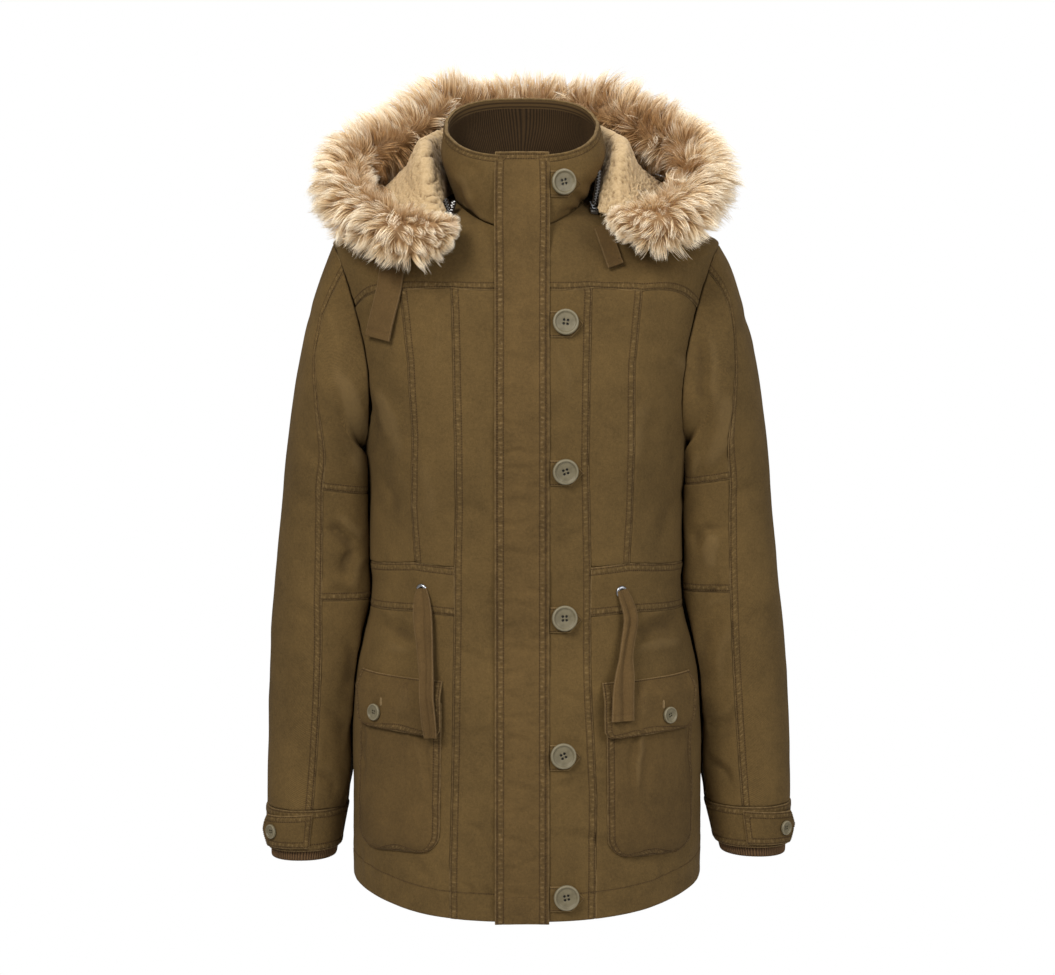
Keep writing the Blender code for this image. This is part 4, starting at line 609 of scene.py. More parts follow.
def awayFrom(value, place):
    return doMath("ABSOLUTE", doMath("SUBTRACT", value, place))


def remap(value, low, high, start=0.0, end=1.0):
    limits = {"Value": value, "From Min": low, "From Max": high, "To Min": start, "To Max": end}
    return addNode(value.id_data, "ShaderNodeMapRange", limits, interpolation_type="SMOOTHSTEP").outputs["Result"]


def mixColour(share, a, b, blend="MIX"):
    tree = (a if share == 1.0 else share).id_data
    return addNode(tree, "ShaderNodeMix", {0: share, 6: a, 7: b}, data_type="RGBA", blend_type=blend).outputs[2]


def grey(value):
    return addNode(value.id_data, "ShaderNodeCombineColor", {"Red": value, "Green": value, "Blue": value}).outputs[0]


def field(tree, name):
    return addNode(tree, "ShaderNodeAttribute", attribute_name=name).outputs["Fac"]


def lumps(tree, scale, detail=2.0, rough=0.5):
    place = addNode(tree, "ShaderNodeTexCoord").outputs["Object"]
    return addNode(tree, "ShaderNodeTexNoise", {"Vector": place, "Scale": scale, "Detail": detail,
                                                "Roughness": rough}).outputs["Fac"]


def newGroup(name, inputs, outputs):
    group = bpy.data.node_groups.new(name, "ShaderNodeTree")
    for way, sockets in (("INPUT", inputs), ("OUTPUT", outputs)):
        for socket, value in sockets.items():
            kind = "NodeSocketColor" if isinstance(value, tuple) else "NodeSocketFloat"
            group.interface.new_socket(socket, in_out=way, socket_type=kind).default_value = value
    return group, group.nodes.new("NodeGroupInput").outputs, group.nodes.new("NodeGroupOutput").inputs


def clothWeave():  # twill threads, heathered yarn and slow shade changes
    given = {"Colour": (0.1, 0.1, 0.1, 1), "Mottle": 0.2, "Heather": 0.2, "Twill": 0.1}
    group, given, out = newGroup("clothWeave", given, {"Colour": (0, 0, 0, 1), "Height": 0.0})
    flat = addNode(group, "ShaderNodeCombineXYZ", {"X": field(group, "clothU"), "Y": field(group, "clothV")}).outputs[0]
    twill = addNode(group, "ShaderNodeTexWave", {"Vector": flat, "Scale": 520.0, "Distortion": 1.2, "Detail": 1.0,
                                                 "Detail Scale": 3.0}, bands_direction="DIAGONAL").outputs["Fac"]
    slow, patch = lumps(group, 9.0, 3.0, 0.55), lumps(group, 42.0, 3.0, 0.6)
    yarn, fleck = lumps(group, 900.0, 2.0, 0.6), lumps(group, 330.0, 3.0, 0.75)

    def swing(value, *gains):
        return times(doMath("SUBTRACT", value, 0.5), *gains)

    change = plus(times(plus(swing(slow, 1.4), swing(patch)), given["Mottle"]), swing(fleck, given["Heather"]),
                  swing(yarn, given["Heather"]), swing(twill, given["Twill"]))
    group.links.new(mixColour(1.0, given["Colour"], grey(plus(change, 1.0)), "MULTIPLY"), out["Colour"])
    group.links.new(plus(times(twill, 0.55), times(yarn, 0.45)), out["Height"])
    return group


def seamWearAndShade():  # rubbed edges, the puckered ribbon between two rows and wear mottles; painted shade in the sewn grooves and needle holes, under the edge of an upper panel and in creases; paler raised cloth, rubbed wear with a painted highlight
    group, given, out = newGroup("seamWearAndShade", {"Rub": 1.0, "ShadeAndWearGain": 1.0}, {"Light": 0.0, "Dark": 0.0})
    spots, small = lumps(group, 230.0, 2.0, 0.55), lumps(group, 420.0, 1.0)
    names = ("ribbonGap", "rowGap", "edgeGap", "seamRun", "relief")
    ribbon, row, gap, run, relief = (field(group, name) for name in names)
    sewn, atEdge = remap(row, 0.02, 0.03, 1.0, 0.0), remap(gap, 0.0004, 0.0012, 1.0, 0.0)
    edge = times(atEdge, sewn, remap(small, 0.3, 0.6, 0.45, 1.0))
    # painted shadow along an edge with no rows of its own, where the upper panel's edge lies over it
    beneath = times(atEdge, remap(sewn, 0.0, 1.0, 1.0, 0.0))
    inside = times(remap(ribbon, 0.0022, 0.0032), remap(ribbon, 0.0060, 0.0070, 1.0, 0.0))
    rungs = remap(doMath("SINE", plus(times(run, 1260.0), times(spots, 7.0))), 0.1, 0.9)
    rungs = times(rungs, remap(small, 0.4, 0.62, 0.25, 1.0))
    # the relief term makes raised cloth paler: rubbed wear with a painted highlight
    light = plus(edge, times(inside, rungs, 0.8), remap(relief, 0.35, 1.9, 0.0, 0.35))
    group.links.new(times(light, given["Rub"]), out["Light"])
    markings = times(remap(ribbon, 0.0068, 0.0084, 1.0, 0.0), remap(spots, 0.42, 0.62, 0.32, 0.0))
    # painted shade in the needle holes along each row
    holes = remap(doMath("SINE", times(run, 2417.0)), -0.2, 0.8, 0.45, 1.0)
    dark = plus(times(beneath, 0.5), markings)
    # painted shade in the sewn groove of each row
    for rowAway, at in ((row, 0.0016), (ribbon, 0.0076)):
        dark = plus(dark, times(remap(awayFrom(rowAway, at), 0.0002, 0.00085, 1.0, 0.0), holes))
    # painted shade in creases
    dark = doMath("MINIMUM", plus(dark, remap(relief, -3.2, -0.9, 0.34, 0.0)), 1.0)
    group.links.new(times(dark, given["ShadeAndWearGain"]), out["Dark"])
    return group


def newMaterial(name, roughness, metallic=0.0, sheen=0.0):
    made = materials[name] = bpy.data.materials.new(name)
    made.use_nodes = True
    shader = made.node_tree.nodes["Principled BSDF"]
    gloss = 0.5 if metallic or roughness < 0.7 else 0.18
    for socket, value in (("Roughness", roughness), ("Metallic", metallic), ("Sheen Weight", sheen),
                          ("Specular IOR Level", gloss)):
        shader.inputs[socket].default_value = value
    return made.node_tree, shader


def finishShader(shader, colour, height=None, depth=0.0):
    links = shader.id_data.links
    links.new(colour, shader.inputs["Base Color"])
    if height is not None:
        bump = addNode(shader.id_data, "ShaderNodeBump", {"Height": height, "Distance": depth})
        links.new(bump.outputs["Normal"], shader.inputs["Normal"])


canvasLook = (0.46, 0.62, 0.34)
clothFinish = {  # colour, paler (rubbed wear and painted highlight), darker (painted shade and wear), (mottle, heather, twill), rub and highlight gain, groove: the gain of painted shade and wear, roughness
    "canvas": ((0.110, 0.067, 0.022), (0.235, 0.155, 0.066), (0.024, 0.013, 0.005), canvasLook, 0.60, 0.80, 0.9),
    "placketCanvas": ((0.110, 0.066, 0.022), (0.245, 0.162, 0.072), (0.024, 0.013, 0.005), canvasLook, 0.70, 0.85, 0.9),
    # a darker copy of the canvas for the pockets and flaps: painted shade
    "pocketCanvas": ((0.098, 0.0585, 0.0192), (0.225, 0.147, 0.063), (0.022, 0.012, 0.0045), canvasLook, 0.65, 0.80,
                     0.9),
    "tape": ((0.104, 0.061, 0.0215), (0.200, 0.128, 0.058), (0.026, 0.014, 0.006), (0.40, 0.50, 0.34), 0.5, 0.8, 0.92),
}
yarnFinish = {  # colour, mottle
    "ribKnit": ((0.046, 0.0255, 0.0095), 0.3), "ribKnitCuff": ((0.118, 0.066, 0.029), 0.3),
    "thread": ((0.120, 0.068, 0.028), 0.5), "zipTape": ((0.022, 0.015, 0.009), 0.4),
    "paleThread": ((0.20, 0.135, 0.062), 0.4),
}
metalFinish = {  # colour, roughness
    "silver": ((0.42, 0.43, 0.45), 0.28), "greyMetal": ((0.30, 0.28, 0.25), 0.35),
    "toothMetal": ((0.17, 0.165, 0.16), 0.34),
}


def makeWoven(weave, name, roughness, colour, mottle, heather, twill):
    tree, shader = newMaterial(name, roughness)
    look = {"Colour": colour, "Mottle": mottle, "Heather": heather, "Twill": twill}
    return tree, shader, addNode(tree, "ShaderNodeGroup", look, node_tree=weave).outputs


def makeCloths():
    weave, wearAndShade = clothWeave(), seamWearAndShade()
    for name, (colour, paler, darker, look, rubAndHighlight, groove, roughness) in clothFinish.items():
        tree, shader, woven = makeWoven(weave, name, roughness, colour, *look)
        markings = addNode(tree, "ShaderNodeGroup", {"Rub": rubAndHighlight, "ShadeAndWearGain": groove}, node_tree=wearAndShade).outputs
        # painted shade and wear darken the colour; rubbed wear and a painted highlight lighten it
        shown = mixColour(markings["Dark"], mixColour(markings["Light"], woven["Colour"], paler), darker)
        finishShader(shader, shown, woven["Height"], 0.00022)
    for name, (colour, mottle) in yarnFinish.items():
        tree, shader, woven = makeWoven(weave, name, 0.9, colour, mottle, 0.5, 0.0)
        shown = woven["Colour"]
        if "rib" in name:
            # painted shade in the valleys between ribs and a painted highlight on the rib tops
            shown = mixColour(1.0, shown, grey(remap(field(tree, "relief"), -0.5, 0.35, 0.42, 1.12)), "MULTIPLY")
        if name == "ribKnit":  # a canvas facing with two rows of stitches closes the collar's lining
            top = field(tree, "edgeGap")
            shown = mixColour(remap(top, 0.0082, 0.0090, 1.0, 0.0), shown, (0.078, 0.045, 0.016))
            for at in (0.0030, 0.0068):
                shown = mixColour(remap(awayFrom(top, at), 0.0004, 0.0011, 0.75, 0.0), shown, (0.022, 0.012, 0.005))
        finishShader(shader, shown, woven["Height"], 0.00025)


def makeOthers():
    tree, shader = newMaterial("pile", 0.95, sheen=0.1)
    curls = lumps(tree, 330.0, 2.0, 0.6)
    # darker in the hollows between the curls: painted shade
    tone = mixColour(remap(field(tree, "relief"), -1.0, 1.0), (0.185, 0.110, 0.043), (0.49, 0.345, 0.180))
    finishShader(shader, mixColour(remap(curls, 0.3, 0.7, 0.0, 0.42), tone, (0.64, 0.48, 0.285)), curls, 0.0012)
    tree, shader = newMaterial("fur", 0.6)
    along, pick = field(tree, "along"), field(tree, "pick")
    root = mixColour(pick, (0.19, 0.092, 0.031), (0.58, 0.36, 0.155))
    middle = mixColour(pick, (0.50, 0.285, 0.110), (0.92, 0.73, 0.46))
    tip = mixColour(remap(pick, 0.05, 0.45), (0.46, 0.265, 0.110), (0.97, 0.86, 0.67))
    shown = mixColour(remap(along, 0.05, 0.42), root, middle)
    finishShader(shader, mixColour(remap(along, 0.38, 0.84), shown, tip))
    tree, shader = newMaterial("button", 0.5)
    shown = mixColour(remap(lumps(tree, 120.0, 3.0, 0.6), 0.3, 0.7), (0.118, 0.097, 0.052), (0.165, 0.137, 0.078))
    shown = mixColour(remap(field(tree, "relief"), 0.2, 1.0, 0.0, 0.55), shown, (0.235, 0.200, 0.125))
    # painted shade in the button's holes
    shown = mixColour(remap(field(tree, "holeDepth"), 0.1, 0.6), shown, (0.016, 0.012, 0.007))
    finishShader(shader, shown, lumps(tree, 1400.0, 2.0), 0.00008)
    for name, (colour, roughness) in metalFinish.items():
        tree, shader = newMaterial(name, roughness, 1.0)
        dull = lumps(tree, 500.0, 3.0, 0.65)
        finishShader(shader, mixColour(remap(dull, 0.35, 0.7), colour, tuple(c * 0.6 for c in colour)))
        tree.links.new(remap(dull, 0.3, 0.7, roughness - 0.06, roughness + 0.14), shader.inputs["Roughness"])
    tree, shader = newMaterial("shadowHole", 0.9)
    finishShader(shader, mixColour(lumps(tree, 600.0), (0.012, 0.008, 0.005), (0.022, 0.014, 0.008)))


makeCloths()
makeOthers()
print("materials")


# fronts and back
cloth = {"step": 2.8 * mm, "backStep": 5.712 * mm, "sway": 0.5, "swaySize": 42, "ripple": 0.22, "rippleSize": 15,
         "hemLine": 28.0, "hemPucker": 1.15, "hemReach": 10.0}
skins = []


def swayOf(points, seed):  # the slight unevenness of worn-in cloth, in millimetres
    ripple = softNoise(points / mm * np.array([1.0, 1.0, 0.8]), cloth["rippleSize"], seed + 5)
    return cloth["sway"] * softNoise(points / mm, cloth["swaySize"], seed) + cloth["ripple"] * ripple


def gapFields(gaps, edges, paint, hem):  # distances that the cloth's finish reads; rows are brought to 1.6 and 7.6
    far = np.full(gaps["low"].shape, 0.2)
    edgeGap, rowGap, ribbonGap, seamRun = far, far, far, far * 0
    for edge in {**edges, **paint}:
        edgeGap = np.minimum(edgeGap, gaps[edge])
    for edge, rows in paint.items():
        second = rows[1] if len(rows) > 1 else rows[0] + 6
        even = np.interp(gaps[edge], (0, rows[0] * mm, second * mm, second * mm + 0.3), (0, 0.0016, 0.0076, 0.3076))
        seamRun = np.where(even < rowGap, runBeside(gaps, edge), seamRun)
        rowGap = np.minimum(rowGap, even)
        if len(rows) > 1:
            ribbonGap = np.minimum(ribbonGap, even)
    if hem:
        even = gaps["low"] - (cloth["hemLine"] - 1.6) * mm
        closer = np.abs(even - 0.0016) < np.abs(rowGap - 0.0016)
        seamRun, rowGap = np.where(closer, gaps["first"], seamRun), np.where(closer, even, rowGap)
    return {"edgeGap": edgeGap, "rowGap": rowGap, "ribbonGap": ribbonGap, "seamRun": seamRun}


def hemRelief(gaps, seed):
    away, run = gaps["low"] / mm - cloth["hemLine"], gaps["first"] / mm
    wave = flatNoise(run, away * 0.25, 11, seed) + 0.5 * flatNoise(run, away * 0.3, 5, seed + 1)
    reach = np.where(away > 0, cloth["hemReach"], cloth["hemReach"] * 1.5)
    return (cloth["hemPucker"] * wave * np.exp(-np.abs(away) / reach) - 0.55 * bell(away / 0.9)
            - 0.6 * bell(gaps["low"] / mm))


def clothPanel(node, grid, normals, edges, seed, creases=(), hem=False, rows=seamLook["rows"], material="canvas",
               thick=1.5, bands=(), strength=1.0, loop=False, extra=0.0, held="hung", paint=None, name=None):
    # edges say how many rows of stitches each has; paint says where rows lie that are sewn afterwards
    gaps = alongEdge(grid)
    relief = seamRelief(gaps, edges, seed, strength, rows) + extra
    sunk, sway = creaseDepth(grid, creases, seed), swayOf(grid, seed)
    if hem:
        relief = relief + hemRelief(gaps, seed + 60)
    for height in bands:  # a row of stitches right across the piece
        away = np.abs(gaps["low"] - height * mm) / mm
        relief -= 0.5 * bell(away / 0.9)
        relief += 0.6 * flatNoise(gaps["first"] / mm, away * 0.3, 7, seed + 9) * np.exp(-away / 8)
    shown = lifted(grid, normals, relief + sway - sunk)
    fields = gapFields(gaps, edges, paint or {edge: rows[:count] for edge, count in edges.items() if count}, hem)
    # this relief field drives the painted shade in creases and the paler raised cloth with its painted highlight
    fields["relief"] = (relief - sunk * 1.15 + sway * 0.5) * 0.8
    thing = shellPiece(name or pieceName(node), shown, normals, thick, loop=loop, fields=fields)
    finishPiece(thing, material, (node,))
    facing = alike(gridNormals(shown, loop), normals)
    for edge, count in edges.items():
        if not paint:
            sewEdge(shown, facing, edge, rows[:count])
    if hem:
        sewEdge(shown, facing, "low", (cloth["hemLine"],))
    skins.append(shown)
    return shown, facing


def joinLines(lines, knots, rowShares, columnShares):  # a grid of (angle, level) across these lines
    read = np.stack([readLine(line, rowShares) for line in lines], axis=1)
    at = np.interp(columnShares, knots, np.arange(len(lines)))
    low = np.clip(np.floor(at).astype(int), 0, len(lines) - 2)
    share = (at - low)[None, :, None]
    return read[:, low] * (1 - share) + read[:, low + 1] * share


def armLine(sign):  # up the side seam from the waist, then round the front of the armhole
    side = levelLine(sign, ring["waistTop"], ring["underarm"], 21)
    arm = armhole(sign, np.linspace(180, armYoke, 41)[1:])
    return np.concatenate([side, arm])


def yokeGrid(side, rowShares, columnShares):
    sign = signs[side]
    corners = [seamLine(side, name, 2, 3, 3)[-1] for name in ("centre", "inner", "outer")]
    corners.append(armhole(sign, [armYoke])[0])
    bottom = readAt(corners, columnShares, (0, 0.25, 0.5, 1))
    arm = armhole(sign, np.linspace(armYoke, 0, 31))
    right = readLine(np.concatenate([arm, levelLine(sign, ring["shoulder"], ring["neck"], 41)[1:]]), rowShares)
    levels = np.linspace(bottom[0, 1], ring["neck"], 61)
    left = readLine(np.stack([frontAngle(np.full(61, centreX), levels), levels], axis=-1), rowShares)
    top = np.stack([left[-1, 0] + (90.0 * sign - left[-1, 0]) * columnShares,
                    np.full(len(columnShares), float(ring["neck"]))], axis=-1)
    s, r = columnShares[None, :, None], rowShares[:, None, None]
    corner = ((1 - s) * (1 - r) * bottom[0] + s * (1 - r) * bottom[-1] + (1 - s) * r * top[0] + s * r * top[-1])
    return (1 - r) * bottom[None] + r * top[None] + (1 - s) * left[:, None] + s * right[:, None] - corner


def surfaceOf(angles):
    return bodySurface(*np.moveaxis(angles, -1, 0))


def makeFronts():
    for number, side in enumerate(signs):
        seed = 100 + number * 50

        def panel(node, edges, makeGrid, tall, wide, number, **settings):  # rough height and width in metres
            grid = makeGrid(spread(tall, cloth["step"]), spread(wide, cloth["step"]))
            clothPanel(f"{node}_{side}", *surfaceOf(grid), edges, seed + number, bodyCreases, **settings)

        centre, inner = (seamLine(side, name, 0, 3) for name in ("centre", "inner"))
        across = partial(joinLines, (centre, inner), (0, 1))
        panel("centre_front", dict(last=2, top=0), across, 0.642, 0.074, 0, hem=True)
        inner, outer = (seamLine(side, name, 2, 3) for name in ("inner", "outer"))
        across = partial(joinLines, (inner, outer), (0, 1))
        panel("mid_front", dict(first=0, last=2, top=0, low=0), across, 0.282, 0.048, 3)
        across = partial(joinLines, (outer, armLine(signs[side])), (0, 1))
        panel("side_front", dict(first=0, last=0, top=0, low=0), across, 0.290, 0.100, 6)
        for node, part, rings, edges, height in (
                ("waist_casing", (1, 2), ("waistLow", "waistTop"), dict(first=0, last=0, top=2, low=2), 0.051),
                ("skirt_front", (0, 1), ("hem", "waistLow"), dict(first=0, last=0, top=0), 0.305)):
            lines = [seamLine(side, seam, *part) for seam in ("inner", "outer")]
            lines.append(levelLine(signs[side], *(ring[name] for name in rings)))
            panel(node, edges, partial(joinLines, lines, (0, 0.27, 1)), height, 0.155, 9 + part[0],
                  hem=node == "skirt_front", strength=1.25)
        panel("front_yoke", dict(low=2, last=0), partial(yokeGrid, side), 0.16, 0.150, 12)


def makeBack():
    side = levelLine(1, ring["hem"], ring["underarm"], 121)
    arm = armhole(1, np.linspace(180, 360, 91)[1:])
    over = levelLine(1, ring["shoulder"], ring["neck"], 41)[1:]
    start = readLine(np.concatenate([side, arm, over]), spread(0.76, cloth["backStep"]))
    columnShares = spread(0.52, cloth["backStep"])
    angles = start[:, None, 0] * (1 - columnShares) + (360 - start[:, None, 0]) * columnShares
    points, normals = bodySurface(angles, np.broadcast_to(start[:, None, 1], angles.shape))
    shown, facing = clothPanel("back", points, normals, dict(first=0, last=0), 300, backCreases, hem=True,
                               bands=(308, 358), name="backPanel")
    sewEdge(shown, facing, "low", (308, 315, 351, 358))


makeFronts()
makeBack()
print("fronts and back")


# sleeves and cuffs
sleeveRings = {
    "r": np.array([  # outX, outZ, inX, inZ, y, halfDepth, where the front seam runs in degrees
        (200, -43, 170, -250, 0, 63, 40), (212, -73, 173, -252, 0, 67, 42), (223, -104, 175, -255, 2, 70, 48),
        (232, -138, 170, -260, 4, 72, 60), (240, -178, 163, -267, 8, 73, 76), (248, -230, 158, -281, 13, 72, 86),
        (255, -287, 154, -301, 18, 69, 85), (259, -325, 152, -335, 21, 67, 85), (264, -370, 150, -375, 23, 65, 86),
        (268, -410, 150, -412, 23, 63, 87), (272, -465, 155, -466, 22, 60, 90), (274, -530, 166, -530, 18, 56, 93),
        (275, -590, 178, -590, 12, 51, 96), (275, -634, 189, -633, 5, 47, 99),
    ], dtype=float),
    "l": np.array([
        (200, -40, 170, -250, 0, 63, 40), (212, -62, 173, -252, 0, 67, 42), (221, -88, 175, -255, 2, 70, 48),
        (230, -120, 170, -260, 4, 72, 60), (240, -160, 163, -267, 8, 73, 76), (249, -212, 158, -279, 13, 72, 86),
        (256, -274, 154, -292, 18, 69, 85), (259, -315, 152, -328, 21, 67, 85), (264, -360, 150, -366, 23, 65, 86),
        (268, -401, 150, -403, 23, 63, 87), (275, -460, 156, -462, 22, 60, 90), (279, -530, 168, -530, 18, 56, 93),
        (281, -590, 180, -590, 12, 51, 96), (281, -630, 190, -629, 5, 47, 99),
    ], dtype=float),
}
sleeveFolds = {  # ring number, degrees round, half-length in rings, half-width in degrees, depth
    "r": ((3.4, 112, 1.3, 14, 4.0), (4.6, 128, 1.0, 14, -4.0), (7.2, 60, 0.9, 26, 3.0), (10.4, 40, 1.6, 22, 3.0)),
    "l": ((3.4, 114, 1.3, 14, 4.0), (4.6, 130, 1.0, 14, -4.0), (7.4, 70, 0.9, 26, 3.0), (11.0, 110, 1.4, 22, 3.0)),
}
sleeve = {"front": 7, "back": 11, "seamStart": 40, "armStep": 20, "blend": (1.0, 0.6, 0.28, 0.08), "power": 2.2,
          "clear": 2.6, "elbowTop": 6, "elbowLow": 9, "cuffSeam": 13}
cuff = {"ends": {"r": (274, -684, 198, -683), "l": (279, -683, 203, -681)}, "halfDepth": 43, "height": 44, "gap": 0.4,
        "raise": 1.2, "wall": 2.6, "ribDrop": 10.5, "ribTuck": 12, "ribWall": 2.4, "ribClear": 1.6, "ribs": 56,
        "columns": 132, "ribRows": 17,
        "tabFrom": 99, "tabTo": 12, "tabHalf": (1.2, 16.8, 18), "tabLift": (3.4, 2.4, 0.2),
        "tabMiddle": (0.58, 0.56, 0.5), "tabWall": 1.8, "tabButton": 0.625}


def skinGrid(surface, levels, rows):
    return surface(*np.meshgrid(np.linspace(-180, 180, 73), np.linspace(0, levels, rows)))[0]


def collarSurface(angle, level):
    points, normals = ringSurface(collarRings, angle, level)
    return points * mm, normals


bodySkin = skinGrid(bodySurface, ring["neck"], 61)
collarEdges = frontAngle(np.array([centreX]), np.array([float(ring["neck"])]))[0] + np.array([0.35, 359.65])
collarSkin = collarSurface(*np.meshgrid(np.linspace(*collarEdges, 41), np.linspace(0, 3, 4)))[0]
bodyTree = skinTree([bodySkin])
frontTree = skinTree([bodySkin, collarSkin])


def pushClear(points, tree, clear):  # points nearer than this to a skin, or under it, move out along its normal
    flat = points.reshape(-1, 3).copy()
    for n, place in enumerate(flat):
        near, normal, _, _ = tree.find_nearest(Vector(place))
        offset = Vector(place) - near
        if offset.dot(normal) < clear and offset.length < 60 * mm:
            flat[n] = near + normal * clear
    return flat.reshape(points.shape)


def edgeRing(sign, edges, y, halfDepth, degrees, grow=0.0):
    outX, outZ, inX, inZ = edges
    half = np.array([(outX - inX) / 2, 0, (outZ - inZ) / 2])
    half *= 1 + grow / np.linalg.norm(half)
    turn = np.radians(degrees)
    cosine, sine = (signedPower(way, 2 / sleeve["power"]) for way in (np.cos(turn), np.sin(turn)))
    points = (np.array([(outX + inX) / 2, y, (outZ + inZ) / 2]) + half * cosine[..., None]
              - np.array([0, 1, 0]) * (halfDepth + grow) * sine[..., None])
    points[..., 0] *= sign
    return points * mm


def sleeveRing(side, number, degrees):
    row = sleeveRings[side][number]
    return edgeRing(signs[side], row[:4], *row[4:6], degrees)


def sleeveDegrees(side, number):  # from the front seam to the inside, then back over the outside
    seam = sleeveRings[side][number][6]
    back = np.linspace(-180, seam, sleeve["back"] + 1)
    return np.concatenate([np.linspace(seam, 180, sleeve["front"] + 1), back[1:-1]])


def outwardLoop(grid):
    normals = gridNormals(grid, True)
    return alike(normals, grid - grid.mean(axis=1, keepdims=True))


def sleeveForm(side):
    first = np.concatenate([np.arange(sleeve["seamStart"], 181, sleeve["armStep"]),
                            np.arange(sleeve["armStep"] - 180, sleeve["seamStart"], sleeve["armStep"])])
    onBody = surfaceOf(armhole(signs[side], first))[0]
    grid = np.stack([sleeveRing(side, n, sleeveDegrees(side, n)) for n in range(len(sleeveRings[side]))])
    for n, share in enumerate(sleeve["blend"]):
        grid[n] += (onBody - sleeveRing(side, 0, first)) * share
    grid[0, :, 0] += signs[side] * 0.4 * mm
    normals = outwardLoop(grid)
    numbers = np.arange(len(grid))[:, None]
    degrees = np.stack([sleeveDegrees(side, n) for n in range(len(grid))])
    for at, around, halfLength, halfWidth, deep in sleeveFolds[side]:
        bump = np.exp(-((numbers - at) / halfLength)**2 - ((degrees - around) / halfWidth)**2)
        grid = lifted(grid, normals, -deep * bump)
    grid[1:] = pushClear(grid[1:], bodyTree, sleeve["clear"] * mm)
    return grid


def makeSleeve(side, seed):
    form, front, around = sleeveForms[side], sleeve["front"], sleeve["front"] + sleeve["back"]
    shoulder, elbowTop, elbowLow, cuffSeam = 0, sleeve["elbowTop"], sleeve["elbowLow"], sleeve["cuffSeam"]
    cuts = (  # node, its rings, its columns, height, width, step, rows of stitches at its top and last edge
        ("sleeve_upper", (shoulder, elbowTop), (0, front), 0.225, 0.125, 3.0, 2, 0),
        ("elbow_panel", (elbowTop, elbowLow), (0, front), 0.122, 0.125, 3.0, 2, 0),
        ("sleeve_lower", (elbowLow, cuffSeam), (0, front), 0.225, 0.110, 3.0, 0, 0),
        ("sleeve_back", (shoulder, cuffSeam), (front, around), 0.59, 0.225, 3.6, 0, 2),
    )
    for number, (node, rows, columns, tall, wide, step, topRows, lastRows) in enumerate(cuts):
        rowsAt = rows[0] + (rows[1] - rows[0]) * spread(tall, step * mm)
        columnsAt = columns[0] + (columns[1] - columns[0]) * spread(wide, step * mm)
        grid = finer(form, rowsAt, columnsAt, True)
        normals = alike(gridNormals(grid), grid - readAt(form.mean(axis=1), rowsAt)[:, None])
        edges = dict(low=0, top=topRows, first=0, last=lastRows)
        clothPanel(f"{node}_{side}", grid, normals, edges, seed + number * 3, sleeveCreases[side])


def cuffRing(side, drop, grow, degrees):
    outX, outZ, inX, inZ, y, halfDepth, _ = sleeveRings[side][sleeve["cuffSeam"]]
    low = cuff["ends"][side]
    share = drop / (outZ - low[1])
    edges = [top * (1 - share) + bottom * share for top, bottom in zip((outX, outZ, inX, inZ), low)]
    deep = halfDepth * (1 - share) + cuff["halfDepth"] * share
    return edgeRing(signs[side], edges, y * (1 - share), deep, degrees, grow)


def makeCuff(side, seed):
    drops = cuff["gap"] + (cuff["height"] - cuff["gap"]) * spread(cuff["height"] * mm, 2.2 * mm)
    degrees = np.linspace(180, 540, cuff["columns"], endpoint=False)
    grid = np.stack([cuffRing(side, drop, cuff["raise"], degrees) for drop in drops])
    clothPanel(f"cuff_band_{side}", grid, outwardLoop(grid), dict(low=2, top=2), seed, thick=cuff["wall"], loop=True)
    count = cuff["ribs"] * 6
    degrees = np.linspace(180, 540, count, endpoint=False)
    drops = np.linspace(cuff["height"] - cuff["ribTuck"], cuff["height"] + cuff["ribDrop"], cuff["ribRows"])
    tuck = cuff["raise"] - cuff["wall"] - cuff["ribClear"]
    rib = 0.5 + 0.5 * np.cos(2 * math.pi * np.arange(count) / 4)
    plain = np.stack([cuffRing(side, drop, tuck - 0.5, degrees) for drop in drops])
    normals = outwardLoop(plain)
    rolled = 1 - np.clip((drops - drops[-1] + 2) / 2, 0, 1)**2 * 0.55
    wobble = 0.35 * softNoise(plain / mm, 18, seed + 4)
    shown = lifted(plain, normals, (rib[None] - 0.35 + wobble) * rolled[:, None])
    thing = shellPiece(f"ribCuff{side.upper()}", shown, normals, cuff["ribWall"], loop=True,
                       fields={"relief": rib - 0.5, "edgeGap": 0.2, "ribbonGap": 0.2})
    finishPiece(thing, "ribKnitCuff", (f"rib_cuff_{side}",))


def makeCuffTab(side, seed):
    degrees = cuff["tabFrom"] + (cuff["tabTo"] - cuff["tabFrom"]) * spread(0.062, 1.6 * mm)
    keys = (cuff["tabTo"], cuff["tabTo"] + 16, cuff["tabFrom"])
    half, lift = np.interp(degrees, keys, cuff["tabHalf"]), np.interp(degrees, keys, cuff["tabLift"])
    middle = cuff["height"] * np.interp(degrees, keys, cuff["tabMiddle"])
    shares = spread(0.035, 1.5 * mm) * 2 - 1
    under = np.stack([np.stack([cuffRing(side, m + share * h, cuff["raise"] + up, np.array([d]))[0]
                                for m, d, h, up in zip(middle, degrees, half, lift)]) for share in shares])
    centre = cuffRing(side, cuff["height"] / 2, 0, np.arange(0, 360, 30.0)).mean(axis=0)
    outward = alike(gridNormals(under), under - centre)
    shown = clothPanel(f"cuff_tab_{side}", under + outward * cuff["tabWall"] * mm, outward,
                       dict(low=2, top=2, first=2, last=0), seed, thick=cuff["tabWall"], rows=(1.6, 6.6),
                       strength=0.5, held="laid")[0]
    at = (len(shares) // 2, int(round(cuff["tabButton"] * (len(degrees) - 1))))
    return shown[at], outward[at]


